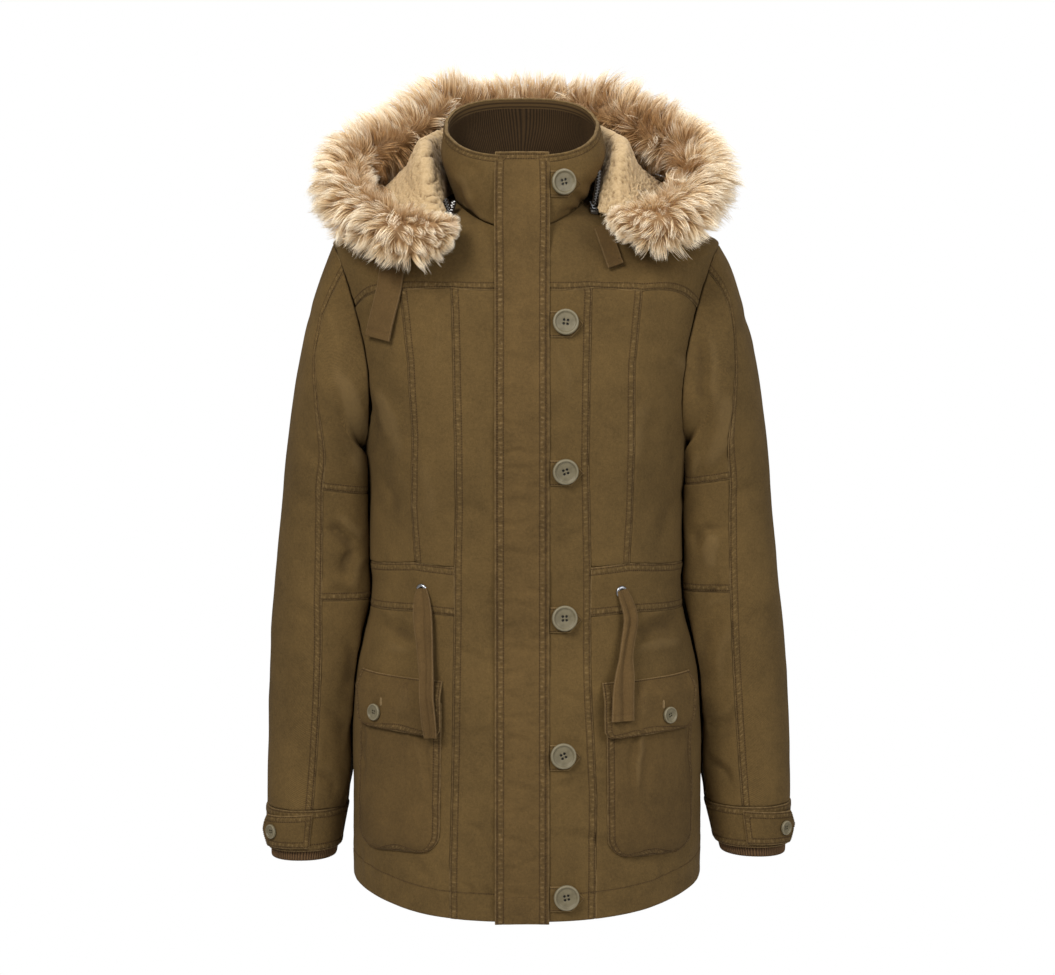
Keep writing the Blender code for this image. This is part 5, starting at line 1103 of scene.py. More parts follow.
sleeveForms = {side: sleeveForm(side) for side in signs}
leftX, leftZ = sleeveForms["l"][..., 0], sleeveForms["l"][..., 2]  # this sleeve lies closer to the body under the arm
leftX -= 0.0095 * np.clip((leftX.mean(axis=1, keepdims=True) - leftX) / 0.03, 0, 1) * bell((leftZ + 0.243) / 0.034)
for number, side in enumerate(signs):
    makeSleeve(side, 400 + 50 * number)
    makeCuff(side, 420 + 50 * number)
print("sleeves and cuffs")


# collar
collar = {"wall": 2.6, "liningGap": 0.5, "rows": (3.2, 7.4), "ribs": 216, "ribWall": 2.4, "ribDepth": 1.0,
          "facing": 2.66}  # the level from which the lining is plain


def makeCollar():
    height, length = 0.088, 0.49  # of the whole collar, in metres
    angles = collarEdges[0] + (collarEdges[1] - collarEdges[0]) * spread(length, 3.0 * mm)
    levels = 3 * spread(height, 2.2 * mm)
    points, normals = collarSurface(*np.meshgrid(angles, levels))
    clothPanel("collar", points, normals, dict(top=2, first=0, last=0, low=0), 500, collarCreases,
               rows=collar["rows"], thick=collar["wall"], strength=1.1, name="collarOutside")
    columns = collar["ribs"] * 4
    angles = np.linspace(*collarEdges, columns + 1)
    levels = np.concatenate([np.linspace(0.35, 2.62, 12), [2.655, 2.67, 2.70, 2.74, 2.78, 2.82, 2.86, 2.90, 2.93]])
    points, normals = collarSurface(*np.meshgrid(angles, levels))
    rib = 0.5 + 0.5 * np.cos(2 * math.pi * np.arange(columns + 1) / 4)
    wave = 0.5 * softNoise(points / mm, 26, 507)
    edge = 1 - ease(levels, collar["facing"] - 0.02, collar["facing"] + 0.02)[:, None] * 0.9
    inward = (collar["wall"] + collar["liningGap"] + collar["ribWall"] - collar["ribDepth"]
              + (rib[None] * collar["ribDepth"] + wave) * edge)
    fields = {"relief": (rib[None] - 0.5) * edge, "ribbonGap": 0.2, "edgeGap": ((2.95 - levels) * 0.0293)[:, None]}
    thing = shellPiece("collarLining", lifted(points, -normals, inward), -normals,
                       collar["ribWall"] - collar["ribDepth"], stride=2, fields=fields)
    finishPiece(thing, "ribKnit", ("collar_lining",))


makeCollar()
print("collar")


# what is sewn on the front
layGap, collarLay, drapeStep = 0.6, 0.9, 4.0  # gap under what lies on the cloth, more on the collar, span of a slope
placket = {"left": -31.5, "right": 23.5, "bottom": -725, "top": 51, "wall": 2.4, "rows": 26, "stitchLeft": (2.8, 9.0),
           "stitchRight": (4.4, 10.0), "stitchTop": (3.2, 7.6)}
placketCreases = (  # from, to, bend, half-width, depth
    (-24, -247, 1, -244, 2, 2.2, 1.3), (-26, -238, -10, -236, -2, 2.4, 0.8), (-22, -262, 6, -266, 2, 3.0, 0.8),
    (-26, -60, -4, -66, 3, 3.4, 0.7), (-24, -92, 2, -90, -2, 3.0, 0.6), (-22, -150, 8, -158, 3, 3.6, 0.7),
    (-24, -186, -6, -184, 2, 3.0, 0.7), (-25, -214, 4, -218, -2, 3.2, 0.6), (-24, -292, 0, -298, 2, 3.2, 0.8),
    (-25, -318, 8, -314, -2, 2.8, 0.7), (-24, -346, 2, -352, 3, 3.4, 0.8), (-25, -372, -8, -370, 2, 3.0, 0.7),
    (-24, -398, 6, -404, 2, 3.0, 0.8), (-25, -424, -6, -420, -2, 2.6, 0.9), (-24, -446, 8, -450, 3, 3.2, 0.8),
    (-25, -470, 2, -466, -3, 2.8, 0.8), (-24, -492, -4, -498, 2, 3.0, 0.9), (-25, -516, 8, -512, -2, 2.6, 0.8),
    (-24, -536, 4, -542, 2, 3.0, 0.9), (-25, -560, -6, -556, -2, 2.8, 0.7), (-24, -584, 8, -590, 3, 3.2, 0.9),
    (-25, -612, 2, -608, -2, 2.8, 0.8), (-24, -640, 6, -646, 2, 3.2, 0.9), (-25, -668, -4, -664, -2, 2.8, 0.8),
    (-24, -694, 6, -698, 2, 3.0, 0.8), (14, -130, -2, -126, 2, 2.8, 0.6), (15, -205, 0, -200, -2, 2.8, 0.7),
    (15, -278, 0, -282, 2, 2.6, 0.8), (15, -332, 2, -336, -2, 2.6, 0.7), (15, -386, 0, -382, 2, 2.8, 0.8),
    (15, -436, 2, -440, -2, 2.6, 0.8), (15, -480, 0, -484, 2, 2.8, 0.8), (15, -526, 2, -522, -2, 2.6, 0.9),
    (15, -572, 0, -576, 2, 2.8, 0.8), (15, -622, 2, -618, -2, 2.8, 0.8), (15, -656, 0, -660, 2, 2.6, 0.8),
    (-12, -20, -8, 20, 2, 5, -0.5), (6, 10, 10, 40, -2, 5, 0.5),
)


def drapeHeight(tree, x, z):
    hit = tree.ray_cast(Vector((x * mm, -0.6, z * mm)), Vector((0, 1, 0)))[0]
    if hit is None:
        hit = tree.find_nearest(Vector((x * mm, -0.02, z * mm)))[0]
    return hit.y / mm


def drape(tree, x, z):  # points on the front at (x, z) in millimetres, with smooth normals
    x, z = together(x, z)
    step = drapeStep
    beside = ((0, 0), (step, 0), (-step, 0), (0, step), (0, -step))
    felt = np.array([[drapeHeight(tree, a + dx, b + dz) for dx, dz in beside] for a, b in zip(x.ravel(), z.ravel())])
    felt = felt.reshape(x.shape + (5,))
    slopeX, slopeZ = (felt[..., 1] - felt[..., 2]) / (2 * step), (felt[..., 3] - felt[..., 4]) / (2 * step)
    normals = unit(np.stack([slopeX, -np.ones(x.shape), slopeZ], axis=-1))
    return np.stack([x, felt[..., 0], z], axis=-1) * mm, normals


def drapeSpot(x, z):
    places, normals = drape(frontTree, np.array([x]), np.array([z]))
    return places[0], normals[0]


def layHeight(z):  # the gap under what is sewn on at these heights
    return (layGap + collarLay * np.clip((np.asarray(z, dtype=float) + 30) / 15, 0, 1)) * mm


def evenRows(values, rounds):
    for _ in range(rounds):
        values = values.copy()
        values[1:-1] = (values[:-2] + 2 * values[1:-1] + values[2:]) / 4
    return values


def makePlacket():
    heights = np.linspace(placket["bottom"], placket["top"], placket["rows"] + 1)
    x = np.linspace(placket["left"], placket["right"], 5)
    places, normals = drape(frontTree, *np.meshgrid(x, heights))
    places[..., 1] = np.minimum(places[..., 1], evenRows(places[..., 1], 3))
    normals = unit(evenRows(normals, 3))
    outer = places + normals * (layHeight(heights)[:, None, None] + placket["wall"] * mm)
    grid = finer(outer, placket["rows"] * spread(0.776, 2.5 * mm), 4 * spread(0.055, 2.2 * mm))
    normals = alike(gridNormals(grid), np.array([0, -1, 0]))
    gaps = alongEdge(grid)
    across, run = gaps["first"] / mm, gaps["low"] / mm
    ladder = flatNoise(run, across * 0.16, 6.5, 511)
    ladder = np.where(ladder < 0, ladder * 1.5, ladder)
    nearLeft = bell(np.maximum(across - 9, 0) / 9)
    nearRight = bell(np.maximum(gaps["last"] / mm - 10, 0) / 8)
    extra = 0.62 * ladder * (0.25 + 0.75 * np.maximum(nearLeft, nearRight)) * ease(run, 0, 20)
    sewn = {"first": placket["stitchLeft"], "last": placket["stitchRight"], "top": placket["stitchTop"]}
    for edge in ("first", "last"):
        away, (start, end) = gaps[edge] / mm, sewn[edge]
        for at in (start, end):
            extra -= 0.42 * bell((away - at) / 0.8)
        tiny = 0.55 + 0.6 * flatNoise(run, away, 4.5, 515)
        extra += 0.4 * tiny * ease(away, start, start + 2) * (1 - ease(away, end - 2, end))
        extra -= 0.8 * bell(away / 0.8)
    shown, facing = clothPanel("placket", grid, normals, dict(low=0, top=1), 510, placketCreases, rows=(3.0, 9.0),
                               thick=placket["wall"], extra=extra, held="laid", material="placketCanvas",
                               paint=sewn, name="placketFly")
    for edge, offsets, start, end in (("first", sewn["first"], 0, 0.992), ("last", sewn["last"], 0, 0.992),
                                      ("top", sewn["top"], 0.14, 0.84), ("low", (cloth["hemLine"],), 0.17, 0.82)):
        sewEdge(shown, facing, edge, offsets, start, end)


buttonTab = {"keys": (24.4, 45.0, 51.0, 57.0), "halves": (1.0, 1.0, 0.55, 0.06), "above": 11, "below": 15,
             "wall": 1.8, "lift": 0.3}  # keys run in x from the placket to the tip
buttonTurns = (0.1, -0.25, 0.18, -0.1, 0.3, 0.05)
buttonPlaces = ((36.4, 24.1), (39.7, -116.0), (39.3, -264.9), (38.6, -415.8), (37.5, -554.3), (40.6, -697.9))
bigButton = {"radius": 13.2, "height": 4.4, "hole": 1.35, "spread": 2.7, "turn": 52}
flapButton = {"radius": 8.6, "height": 3.2, "hole": 0.85, "spread": 1.75, "turn": 50}
cuffButton = {"radius": 7.6, "height": 3.0, "hole": 0.8, "spread": 1.6, "turn": 48}
buttonProfile = (  # radius and height as shares
    (0.0, 0.0), (0.90, 0.0), (0.965, 0.10), (0.995, 0.30), (1.0, 0.50), (0.992, 0.70), (0.970, 0.86), (0.935, 0.96),
    (0.89, 1.0), (0.845, 0.985), (0.805, 0.93), (0.775, 0.84), (0.75, 0.74), (0.72, 0.67), (0.66, 0.635), (0.5, 0.62),
    (0.42, 0.60), (0.36, 0.575), (0.2, 0.56), (0.0, 0.56))
buttonMeshes = {}


def buttonMesh(name, kind, steps=56):
    if name in buttonMeshes:
        return buttonMeshes[name]
    turn = 2 * math.pi * np.arange(steps) / steps
    points, faces = [(0, 0, 0)], []
    for share, rise in buttonProfile[1:-1]:
        points += [(share * kind["radius"] * math.cos(a), share * kind["radius"] * math.sin(a), rise * kind["height"])
                   for a in turn]
    points.append((0, 0, buttonProfile[-1][1] * kind["height"]))
    last = len(points) - 1
    for j in range(steps):
        k = (j + 1) % steps
        faces.append((0, 1 + k, 1 + j))
        faces.append((last, last - steps + j, last - steps + k))
        for i in range(len(buttonProfile) - 3):
            a = 1 + i * steps
            faces.append((a + j, a + k, a + steps + k, a + steps + j))
    thing = meshPiece(name, np.array(points) * mm, faces)
    pins, pinFaces = [], []
    for quarter in range(4):
        around = math.radians(kind["turn"] + 90 * quarter)
        middle = np.array([math.cos(around), math.sin(around), 0]) * kind["spread"]
        pinFaces += lids(2, 12, len(pins)) + tube(2, 12, len(pins))
        for height in (0.22, 2.0):
            deep, wide = height * kind["height"], kind["hole"]
            pins += [middle + np.array([wide * math.cos(a), wide * math.sin(a), deep])
                     for a in np.radians(np.arange(11, 371, 30))]
    cutter = meshPiece(name + "Holes", np.array(pins) * mm, pinFaces, False)
    hole = thing.modifiers.new("holes", "BOOLEAN")
    hole.operation = "DIFFERENCE"
    hole.solver = "EXACT"
    hole.object = cutter
    shape = bpy.data.meshes.new_from_object(thing.evaluated_get(bpy.context.evaluated_depsgraph_get()))
    for unused in (thing, cutter):
        bpy.data.objects.remove(unused)
    place = np.array([v.co for v in shape.vertices]) / mm
    height, reach = place[:, 2], np.hypot(*place[:, :2].T)
    share = reach / kind["radius"]
    onRim = ease(share, 0.8, 0.9) * (1 - ease(share, 0.96, 1.0)) * (height > kind["height"] * 0.7)
    # the hole walls, which the button finish paints dark as shade
    inHole = (height < kind["height"] * 0.4) & (reach < kind["spread"] + kind["hole"] * 1.3) & (height > 0.1)
    setField(shape, "relief", onRim)
    setField(shape, "holeDepth", inHole)
    shape.materials.clear()
    shape.materials.append(materials["button"])
    buttonMeshes[name] = shape
    return shape


def placeButton(node, kindName, kind, place, normal, turn=0.0):
    thing = addThing(pieceName(node), buttonMesh(kindName, kind))
    pointThing(thing, Vector(place) + Vector(normal) * buttonTab["lift"] * mm, normal, "Z", turn)
    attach(thing, "coat")
    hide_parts(node)


def makeButtonTabs():
    for number, (x, z) in enumerate(buttonPlaces, start=1):
        keys = np.array(buttonTab["keys"])
        keys[1:] += x - buttonPlaces[2][0]
        centre, reach = z + (buttonTab["above"] - buttonTab["below"]) / 2, (buttonTab["above"] + buttonTab["below"]) / 2
        across = keys[0] + (keys[-1] - keys[0]) * spread(0.034, 1.3 * mm)
        half = np.interp(across, keys, buttonTab["halves"])
        shares = spread(0.026, 1.3 * mm) * 2 - 1
        gridZ = centre + shares[:, None] * reach * half
        places, normals = drape(frontTree, across, gridZ)
        grid = places + normals * (layHeight(gridZ)[..., None] + buttonTab["wall"] * mm)
        clothPanel(f"button_tab_{number}", grid, normals, dict(low=1, top=1), 520 + number * 3,
                   thick=buttonTab["wall"], strength=0.35, held="laid", rows=(1.8, 7.6))
        spot, normal = drapeSpot(x, z)
        base = spot + normal * (layHeight(z) + (buttonTab["wall"] + buttonTab["lift"]) * mm)
        placeButton(f"front_button_{number}", "bigButtonMesh", bigButton, base, normal, buttonTurns[number - 1])


pocket = {"r": {"topIn": (85.5, -503), "topOut": (171, -505), "lowOut": (173, -663), "lowIn": (87.9, -654.9)},
          "l": {"topIn": (81.8, -502), "topOut": (169.5, -505), "lowOut": (171.5, -665), "lowIn": (82.9, -658.8)},
          "pleats": {"r": (0.36,), "l": (0.36, 0.9)}, "rise": 3.6, "round": 20, "wall": 1.6, "pleatRise": 1.4,
          "pleatShare": 0.03, "edge": 7.0}
pocketCreases = (
    (-113, -520, -100, -598, 4, 3.2, 1.5), (-118, -530, -104, -600, 5, 6, -0.7), (-108, -600, -94, -622, 2, 4, 0.7),
    (114, -530, 108, -594, -3, 3.2, 1.5), (121, -530, 113, -600, -4, 6, -0.7), (108, -596, 114, -622, 2, 4, 0.7),
    (164, -520, 170, -580, 2, 2.6, 1.6), (-150, -560, -140, -640, 6, 10, 0.6), (140, -560, 150, -630, 6, 10, 0.6),
    (-172, -520, -172, -600, 2, 3, 1.4), (128, -612, 160, -622, 4, 6, 0.5), (-160, -628, -120, -634, 3, 5, 0.5),
)
flap = {"r": {"topIn": (84.5, -480.7), "topOut": (168.5, -479.8), "lowOut": (167.5, -532.6), "lowIn": (83.6, -537.2)},
        "l": {"topIn": (77.1, -482.2), "topOut": (168.5, -480.8), "lowOut": (167.5, -534.8), "lowIn": (77.2, -538.8)},
        "rise": 8.0, "round": 10, "wall": 2.0, "slope": 2.0, "button": {"r": (147.7, -518.7), "l": (139.9, -520.0)}}
flapCreases = (
    (-124, -484, -130, -520, 3, 8, -0.7), (-100, -488, -96, -524, -2, 7, 0.7), (-160, -480, -166, -510, 3, 6, 0.7),
    (120, -484, 126, -522, -3, 8, -0.7), (96, -492, 92, -528, 2, 6, 0.7), (164, -480, 170, -512, -3, 6, 0.7),
)
barStitches = {"r": ((-122.0, -481, -119.5, -503), (-125.5, -481, -123, -503)),
               "l": ((113.5, -482, 117.5, -505), (117.5, -481.5, 121, -504), (163, -474, 166, -500))}


def cornerGrid(corners, sign, shares, heights, radius):
    topIn, topOut, lowOut, lowIn = (np.array(corners[key]) for key in ("topIn", "topOut", "lowOut", "lowIn"))
    up = heights[:, None]
    start, end = lowIn * (1 - up) + topIn * up, lowOut * (1 - up) + topOut * up
    rest = np.clip(radius - heights * np.linalg.norm(topIn - lowIn), 0, radius)
    pull = (radius - np.sqrt(radius**2 - rest**2)) / np.linalg.norm(end - start, axis=1)
    along = pull[:, None] + shares * (1 - 2 * pull[:, None])
    grid = start[:, None] + (end - start)[:, None] * along[..., None]
    return sign * grid[..., 0], grid[..., 1]


def roundHeights(corners, radius, step):  # rows close together round the lower corners
    tall = abs(corners["topIn"][1] - corners["lowIn"][1])
    curve = radius * (1 - np.cos(np.linspace(0, math.pi / 2, 11))) / tall
    rest = curve[-1] + (1 - curve[-1]) * spread(tall * (1 - curve[-1]) * mm, step)[len(spread(0.01, step)) // 2:]
    heights = np.unique(np.concatenate([curve, rest[rest > curve[-1]], [1.0]]))
    while (len(heights) - 1) % 4:
        widest = np.argmax(np.diff(heights))
        heights = np.insert(heights, widest + 1, (heights[widest] + heights[widest + 1]) / 2)
    return heights


def shownFront():  # what has been made so far on the front, facing outward
    made = [skin for skin in skins if skin[..., 1].mean() < -0.03]
    return skinTree([skin if gridNormals(skin)[..., 1].mean() < 0 else skin[:, ::-1] for skin in made])


def makePocket(side, seed):
    shares, heights = spread(0.088, 2.2 * mm), roundHeights(pocket[side], pocket["round"], 2.4 * mm)
    x, z = cornerGrid(pocket[side], signs[side], shares, heights, pocket["round"])
    edge = np.minimum(np.minimum(shares, 1 - shares)[None, :] * 88, heights[:, None] * 150)
    rise = pocket["rise"] * (1 - np.exp(-edge / pocket["edge"]))
    opening = np.clip(heights[:, None] * 2.2 - 0.7, 0, 1)
    for pleat in pocket["pleats"][side]:
        rise = rise + pocket["pleatRise"] * bell((shares[None, :] - pleat) / pocket["pleatShare"]) * opening
    places, normals = drape(frontTree, x, z)
    grid = lifted(places, normals, layGap + pocket["wall"] + rise)
    grid = pushClear(grid, shownFront(), (0.5 + pocket["wall"]) * mm)
    clothPanel(f"pocket_{side}", grid, normals, dict(low=2, first=2, last=2, top=0), seed, pocketCreases,
               rows=(1.8, 7.2), thick=pocket["wall"], held="laid", material="pocketCanvas",
               name=f"pocketPatch{side.upper()}")


def makeFlap(side, seed):
    sign, shares, heights = signs[side], spread(0.09, 2.0 * mm), roundHeights(flap[side], flap["round"], 2.0 * mm)
    x, z = cornerGrid(flap[side], sign, shares, heights, flap["round"])
    rise = flap["rise"] * np.clip(flap["slope"] * (1 - heights**1.8), 0, 1)
    places, normals = drape(frontTree, x, z)
    grid = places + normals * ((layGap + flap["wall"] + rise)[:, None, None] * mm)
    grid = pushClear(grid, shownFront(), (0.3 + flap["wall"]) * mm)
    shown = clothPanel(f"pocket_flap_{side}", grid, normals, dict(low=2, first=2, last=2, top=1), seed, flapCreases,
                       rows=(1.8, 7.2), thick=flap["wall"], material="pocketCanvas", strength=1.1)[0]
    tree = skinTree([shown])
    for x1, z1, x2, z2 in barStitches[side]:
        line = np.linspace((x1, z1), (x2, z2), 12)
        stitches.append(drape(tree, line[:, 0], line[:, 1]))
    x, z = sign * flap["button"][side][0], flap["button"][side][1]
    spot, normal = drapeSpot(x, z)
    base = spot + normal * (layGap + flap["rise"] + flap["wall"] + buttonTab["lift"]) * mm
    placeButton(f"flap_button_{side}", "flapButtonMesh", flapButton, base, normal, 0.2 * sign)
    hole = np.linspace((x + sign * 1.2, z + 8.2), (x + sign * 1.0, z + 17), 8)
    makeButtonhole(f"flapButtonhole{side.upper()}", *drape(tree, hole[:, 0], hole[:, 1]))


def makeButtonhole(name, line, facing):  # a stitched slit: two raised lips and a bar at each end
    points = []
    along = unit(np.gradient(line, axis=0))
    side = unit(np.cross(facing, along))
    profile = ((-1.45, 0.0), (-1.15, 0.5), (-0.7, 0.58), (-0.28, 0.3), (0, -0.2), (0.28, 0.3), (0.7, 0.58), (1.15, 0.5),
               (1.45, 0.0), (0.0, -0.5))
    ends = np.array([0.35, 0.95] + [1.0] * (len(line) - 4) + [0.95, 0.35])
    for place, across, normal, share in zip(line, side, facing, ends):
        points += [place + across * (a * share * mm) + normal * (h * mm) for a, h in profile]
    faces = tube(len(line), len(profile)) + lids(len(line), len(profile))
    finishPiece(meshPiece(name, np.array(points), faces), "paleThread")


makePlacket()
makeButtonTabs()
for number, side in enumerate(signs):
    makePocket(side, 560 + 20 * number)
    makeFlap(side, 570 + 20 * number)
    place, normal = makeCuffTab(side, 580 + 20 * number)
    placeButton(f"cuff_button_{side}", "cuffButtonMesh", cuffButton, place, normal)
print("placket, tabs, pockets and buttons")


# tapes: the waist drawstrings, their eyelets and the hood ties
drawstring = {  # x, z, height over the cloth and width at each point of the way down, in millimetres
    "r": ((-105.8, -388.4, -0.2, 10), (-103.8, -402, 3.0, 17), (-101.6, -419, 5.5, 20), (-98.8, -452, 7, 17),
          (-95.8, -477, 11, 15), (-94.7, -500, 13.5, 14), (-93.0, -521, 13.5, 15), (-91.4, -538, 12.5, 13)),
    "l": ((97.3, -389.3, -0.2, 10), (100.5, -402, 3.0, 13), (103.2, -419, 5.5, 14), (98.0, -454, 8, 14),
          (95.3, -478, 12, 20), (93.5, -500, 13.5, 22), (93.4, -521, 13, 23)),
    "wall": 2.0, "follow": 0.65, "wide": {"r": 17.0, "l": 18.0},
    "folds": {"r": ((-0.5, -0.12, 1.5), (0.02, 0.10, -1.5), (0.34, 0.13, 1.0)),
              "l": ((-0.28, 0.11, 1.2), (0.05, 0.09, -1.7), (0.36, 0.13, 1.4))},
}
hoodTie = {"r": ((-134, -46, 0.0, 25), (-137, -80, 2.0, 25), (-142, -106, 3.0, 25), (-147.6, -134, 3.5, 25)),
           "l": ((77, -22, -0.2, 16), (81.5, -36, 0.6, 16), (90, -62, 2.0, 16)), "wall": 2.0}
eyelet = {"places": {"r": (-106.2, -390.4), "l": (97.5, -391.6)},
          "profile": ((3.0, -0.6), (3.0, 0.5), (3.5, 1.25), (4.4, 1.6), (5.3, 1.35), (6.1, 0.7), (6.4, -0.1),
                      (6.3, -0.6)), "sides": 40, "raise": 0.8}


def tapeGrid(rows, wallThick, follow, step=1.6):  # the visible side of a flat strip along its route, with normals
    rows = np.asarray(rows, dtype=float)
    at = spread(runOf(rows[:, :2])[-1] * mm, step * mm) * (len(rows) - 1)
    read = readRows(np.arange(len(rows)), rows, at)
    line, lift, width = read[:, :2], read[:, 2], read[:, 3]
    along = unit(np.gradient(line, axis=0))
    across = np.stack([along[:, 1], -along[:, 0]], axis=-1)
    shares = spread(0.017, 1.3 * mm) - 0.5
    flat = line[:, None] + across[:, None] * (width[:, None] * shares)[..., None]
    places, normals = drape(frontTree, flat[..., 0], flat[..., 1])
    middle = len(shares) // 2
    normals = np.broadcast_to(normals[:, middle:middle + 1], normals.shape)
    level = places - normals * np.sum((places - places[:, middle:middle + 1]) * normals, axis=-1, keepdims=True)
    base = (1 - follow) * level + follow * places
    return base + normals * ((layGap + lift[:, None, None] + wallThick) * mm), normals, shares


def tapePiece(node, shown, normals, thick, relief, edgeGap, sewnFrom):
    fields = {"relief": relief, "edgeGap": edgeGap, "ribbonGap": 0.2}
    thing = shellPiece(pieceName(node), shown, normals, thick, fields=fields)
    finishPiece(thing, "tape", (node,))
    sewEdge(shown, alike(gridNormals(shown), normals), "top", (6.5,), sewnFrom, 1 - sewnFrom)
    return thing


def makeDrawstring(side, seed):
    grid, normals, shares = tapeGrid(drawstring[side], drawstring["wall"], drawstring["follow"])
    run = alongEdge(grid)["low"] / mm
    relief = np.zeros(run.shape)
    wander = 0.10 * flatNoise(run, run * 0, 34, seed) + 0.05 * np.sin(run / 19 + seed)
    for at, width, rise in drawstring["folds"][side]:
        relief += rise * bell((shares[None] - at - wander) / width) * (0.5 + 0.5 * ease(run, 4, 26))
    relief += 0.35 * softNoise(grid / mm, 7, seed + 3)
    relief += 0.5 * softNoise(grid / mm * np.array([1, 1, 0.5]), 14, seed + 4)
    shown = lifted(grid, normals, relief)
    shown = lifted(shown, normals, -0.5 * bell((alongEdge(shown)["top"] / mm - 7) / 0.8))
    thing = tapePiece(f"drawstring_{side}", shown, normals, drawstring["wall"], relief * 0.55,
                      (0.5 - np.abs(shares[None])) * 17 * mm, 0.08)
    middle = shown[:, len(shares) // 2] - normals[:, 0] * drawstring["wall"] / 2 * mm
    path = readLine(middle, np.linspace(0, 1, 26))


def makeHoodTie(side, seed):
    grid, normals, shares = tapeGrid(hoodTie[side], hoodTie["wall"], drawstring["follow"], 2.0)
    gaps = alongEdge(grid)
    run, end = gaps["low"] / mm, gaps["top"] / mm
    relief = 0.4 * softNoise(grid / mm, 12, seed) + 0.9 * (shares[None] * 2)**2 * flatNoise(run, run * 0, 22, seed + 1)
    relief = relief - 0.5 * bell((end - 7) / 0.8) + 0.3 * (end < 6.5)
    thing = tapePiece(f"hood_tie_{side}", lifted(grid, normals, relief), normals, hoodTie["wall"], relief * 0.6,
                      np.minimum(gaps["first"], gaps["last"]), 0.06)


def makeEyelet(side):
    spot, normal = drapeSpot(*eyelet["places"][side])
    sides, profile = eyelet["sides"], eyelet["profile"]
    turns = 2 * math.pi * np.arange(sides) / sides
    count = len(profile) * sides
    ringFaces = [tuple(k % count for k in face[::-1]) for face in tube(len(profile) + 1, sides)]
    for name, shape, faces, smooth, material, slotName in (
            ("eyelet", profile, ringFaces, True, "silver", "metal"),
            ("eyeletHole", ((3.2, -0.9), (3.2, -0.2)), lids(2, sides) + tube(2, sides), False, "shadowHole", "canvas")):
        points = [(r * math.cos(a), r * math.sin(a), h) for r, h in shape for a in turns]
        thing = meshPiece(f"{name}{side.upper()}", np.array(points) * mm, faces, smooth)
        pointThing(thing, Vector(spot) + Vector(normal) * eyelet["raise"] * mm, normal)
        finishPiece(thing, material)


for number, side in enumerate(signs):
    makeDrawstring(side, 600 + 20 * number)
    makeHoodTie(side, 610 + 20 * number)
    makeEyelet(side)
print("tapes")


# hood
hood = {"columns": 20, "start": 53.0, "seam": 0.35, "corner": 0.65, "frontShare": 0.14, "rimStart": 0.08,
        "rimDrop": (0.0, 0.12), "rimUnder": (0.12, 0.26), "behind": (0.64, 0.96), "sag": 8.0, "smoothing": 3,
        "stand": ((0.9, 10.0), (1.7, 11.0), (2.15, 17.0), (1.8, 26.0)),
        "bag": ((0.9, 20.0), (1.9, 6.0), (3.1, 4.0), (3.7, 16.0), (2.9, 32.0)), "rise": ((0.36, 20.0), (0.7, 18.0)),
        "shellStep": 4.6, "liningStep": 2.2, "clear": 1.5, "wall": 2.0, "pileGap": 0.4, "pileWall": 2.0, "curl": 5.0,
        "curlRise": 2.9}
hood["rimClear"] = hood["wall"] + hood["pileGap"] + hood["pileWall"] + 2.6
furPath = np.array([  # x, y, z, radius from the wearer's right front to the left front
    (-74, -88, -16, 20), (-94, -118, -28, 32), (-121, -118, -30, 35), (-152, -90, -19, 37), (-182, -55, 0, 37),
    (-190, -10, 25, 36), (-180, 35, 47, 37), (-148, 66, 60, 41), (-120, 88, 79, 42), (-86, 112, 98, 41),
    (-48, 128, 99, 36), (0, 136, 103, 34), (50, 128, 98, 36), (86, 112, 95, 41), (114, 90, 82, 44), (144, 66, 68, 43),
    (170, 38, 56, 38), (180, 0, 40, 36), (178, -40, 15, 37), (159, -85, -6, 37), (129, -113, -19, 35),
    (104, -108, -14, 28), (86, -84, -12, 19)], dtype=float)


def nodeTree(name):
    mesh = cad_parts[name].data
    return BVHTree.FromPolygons([v.co[:] for v in mesh.vertices], [p.vertices[:] for p in mesh.polygons])


def furLine(count):
    keys = runOf(furPath[:, :3])
    return readRows(keys, furPath, np.linspace(0, keys[-1], count))


def rimLine(furTree, shares, seam):
    level = np.array([1.0, 1.0, 0.0])
    at = hood["rimStart"] + (1 - 2 * hood["rimStart"]) * shares
    centres = readAt(furLine(400)[:, :3], at, np.linspace(0, 1, 400)) * mm
    neckWay, away = unit(seam - centres), unit(centres * level)
    beneath = unit(neckWay * level * 0.65 - upward * 0.76)
    under = unit(away * 0.5 - upward)
    endShare = np.minimum(shares, 1 - shares)
    lower, tuck = ease(endShare, *hood["rimDrop"])[:, None], ease(endShare, *hood["rimUnder"])[:, None]
    ways = unit((neckWay * (1 - lower) + beneath * lower) * (1 - tuck) + under * tuck)
    rim = []
    for centre, way in zip(centres, ways):
        hit, normal, _, _ = furTree.ray_cast(Vector(centre + way * 90 * mm), -Vector(way))
        rim.append(hit + normal * hood["rimClear"] * mm)
    return np.array(rim), away


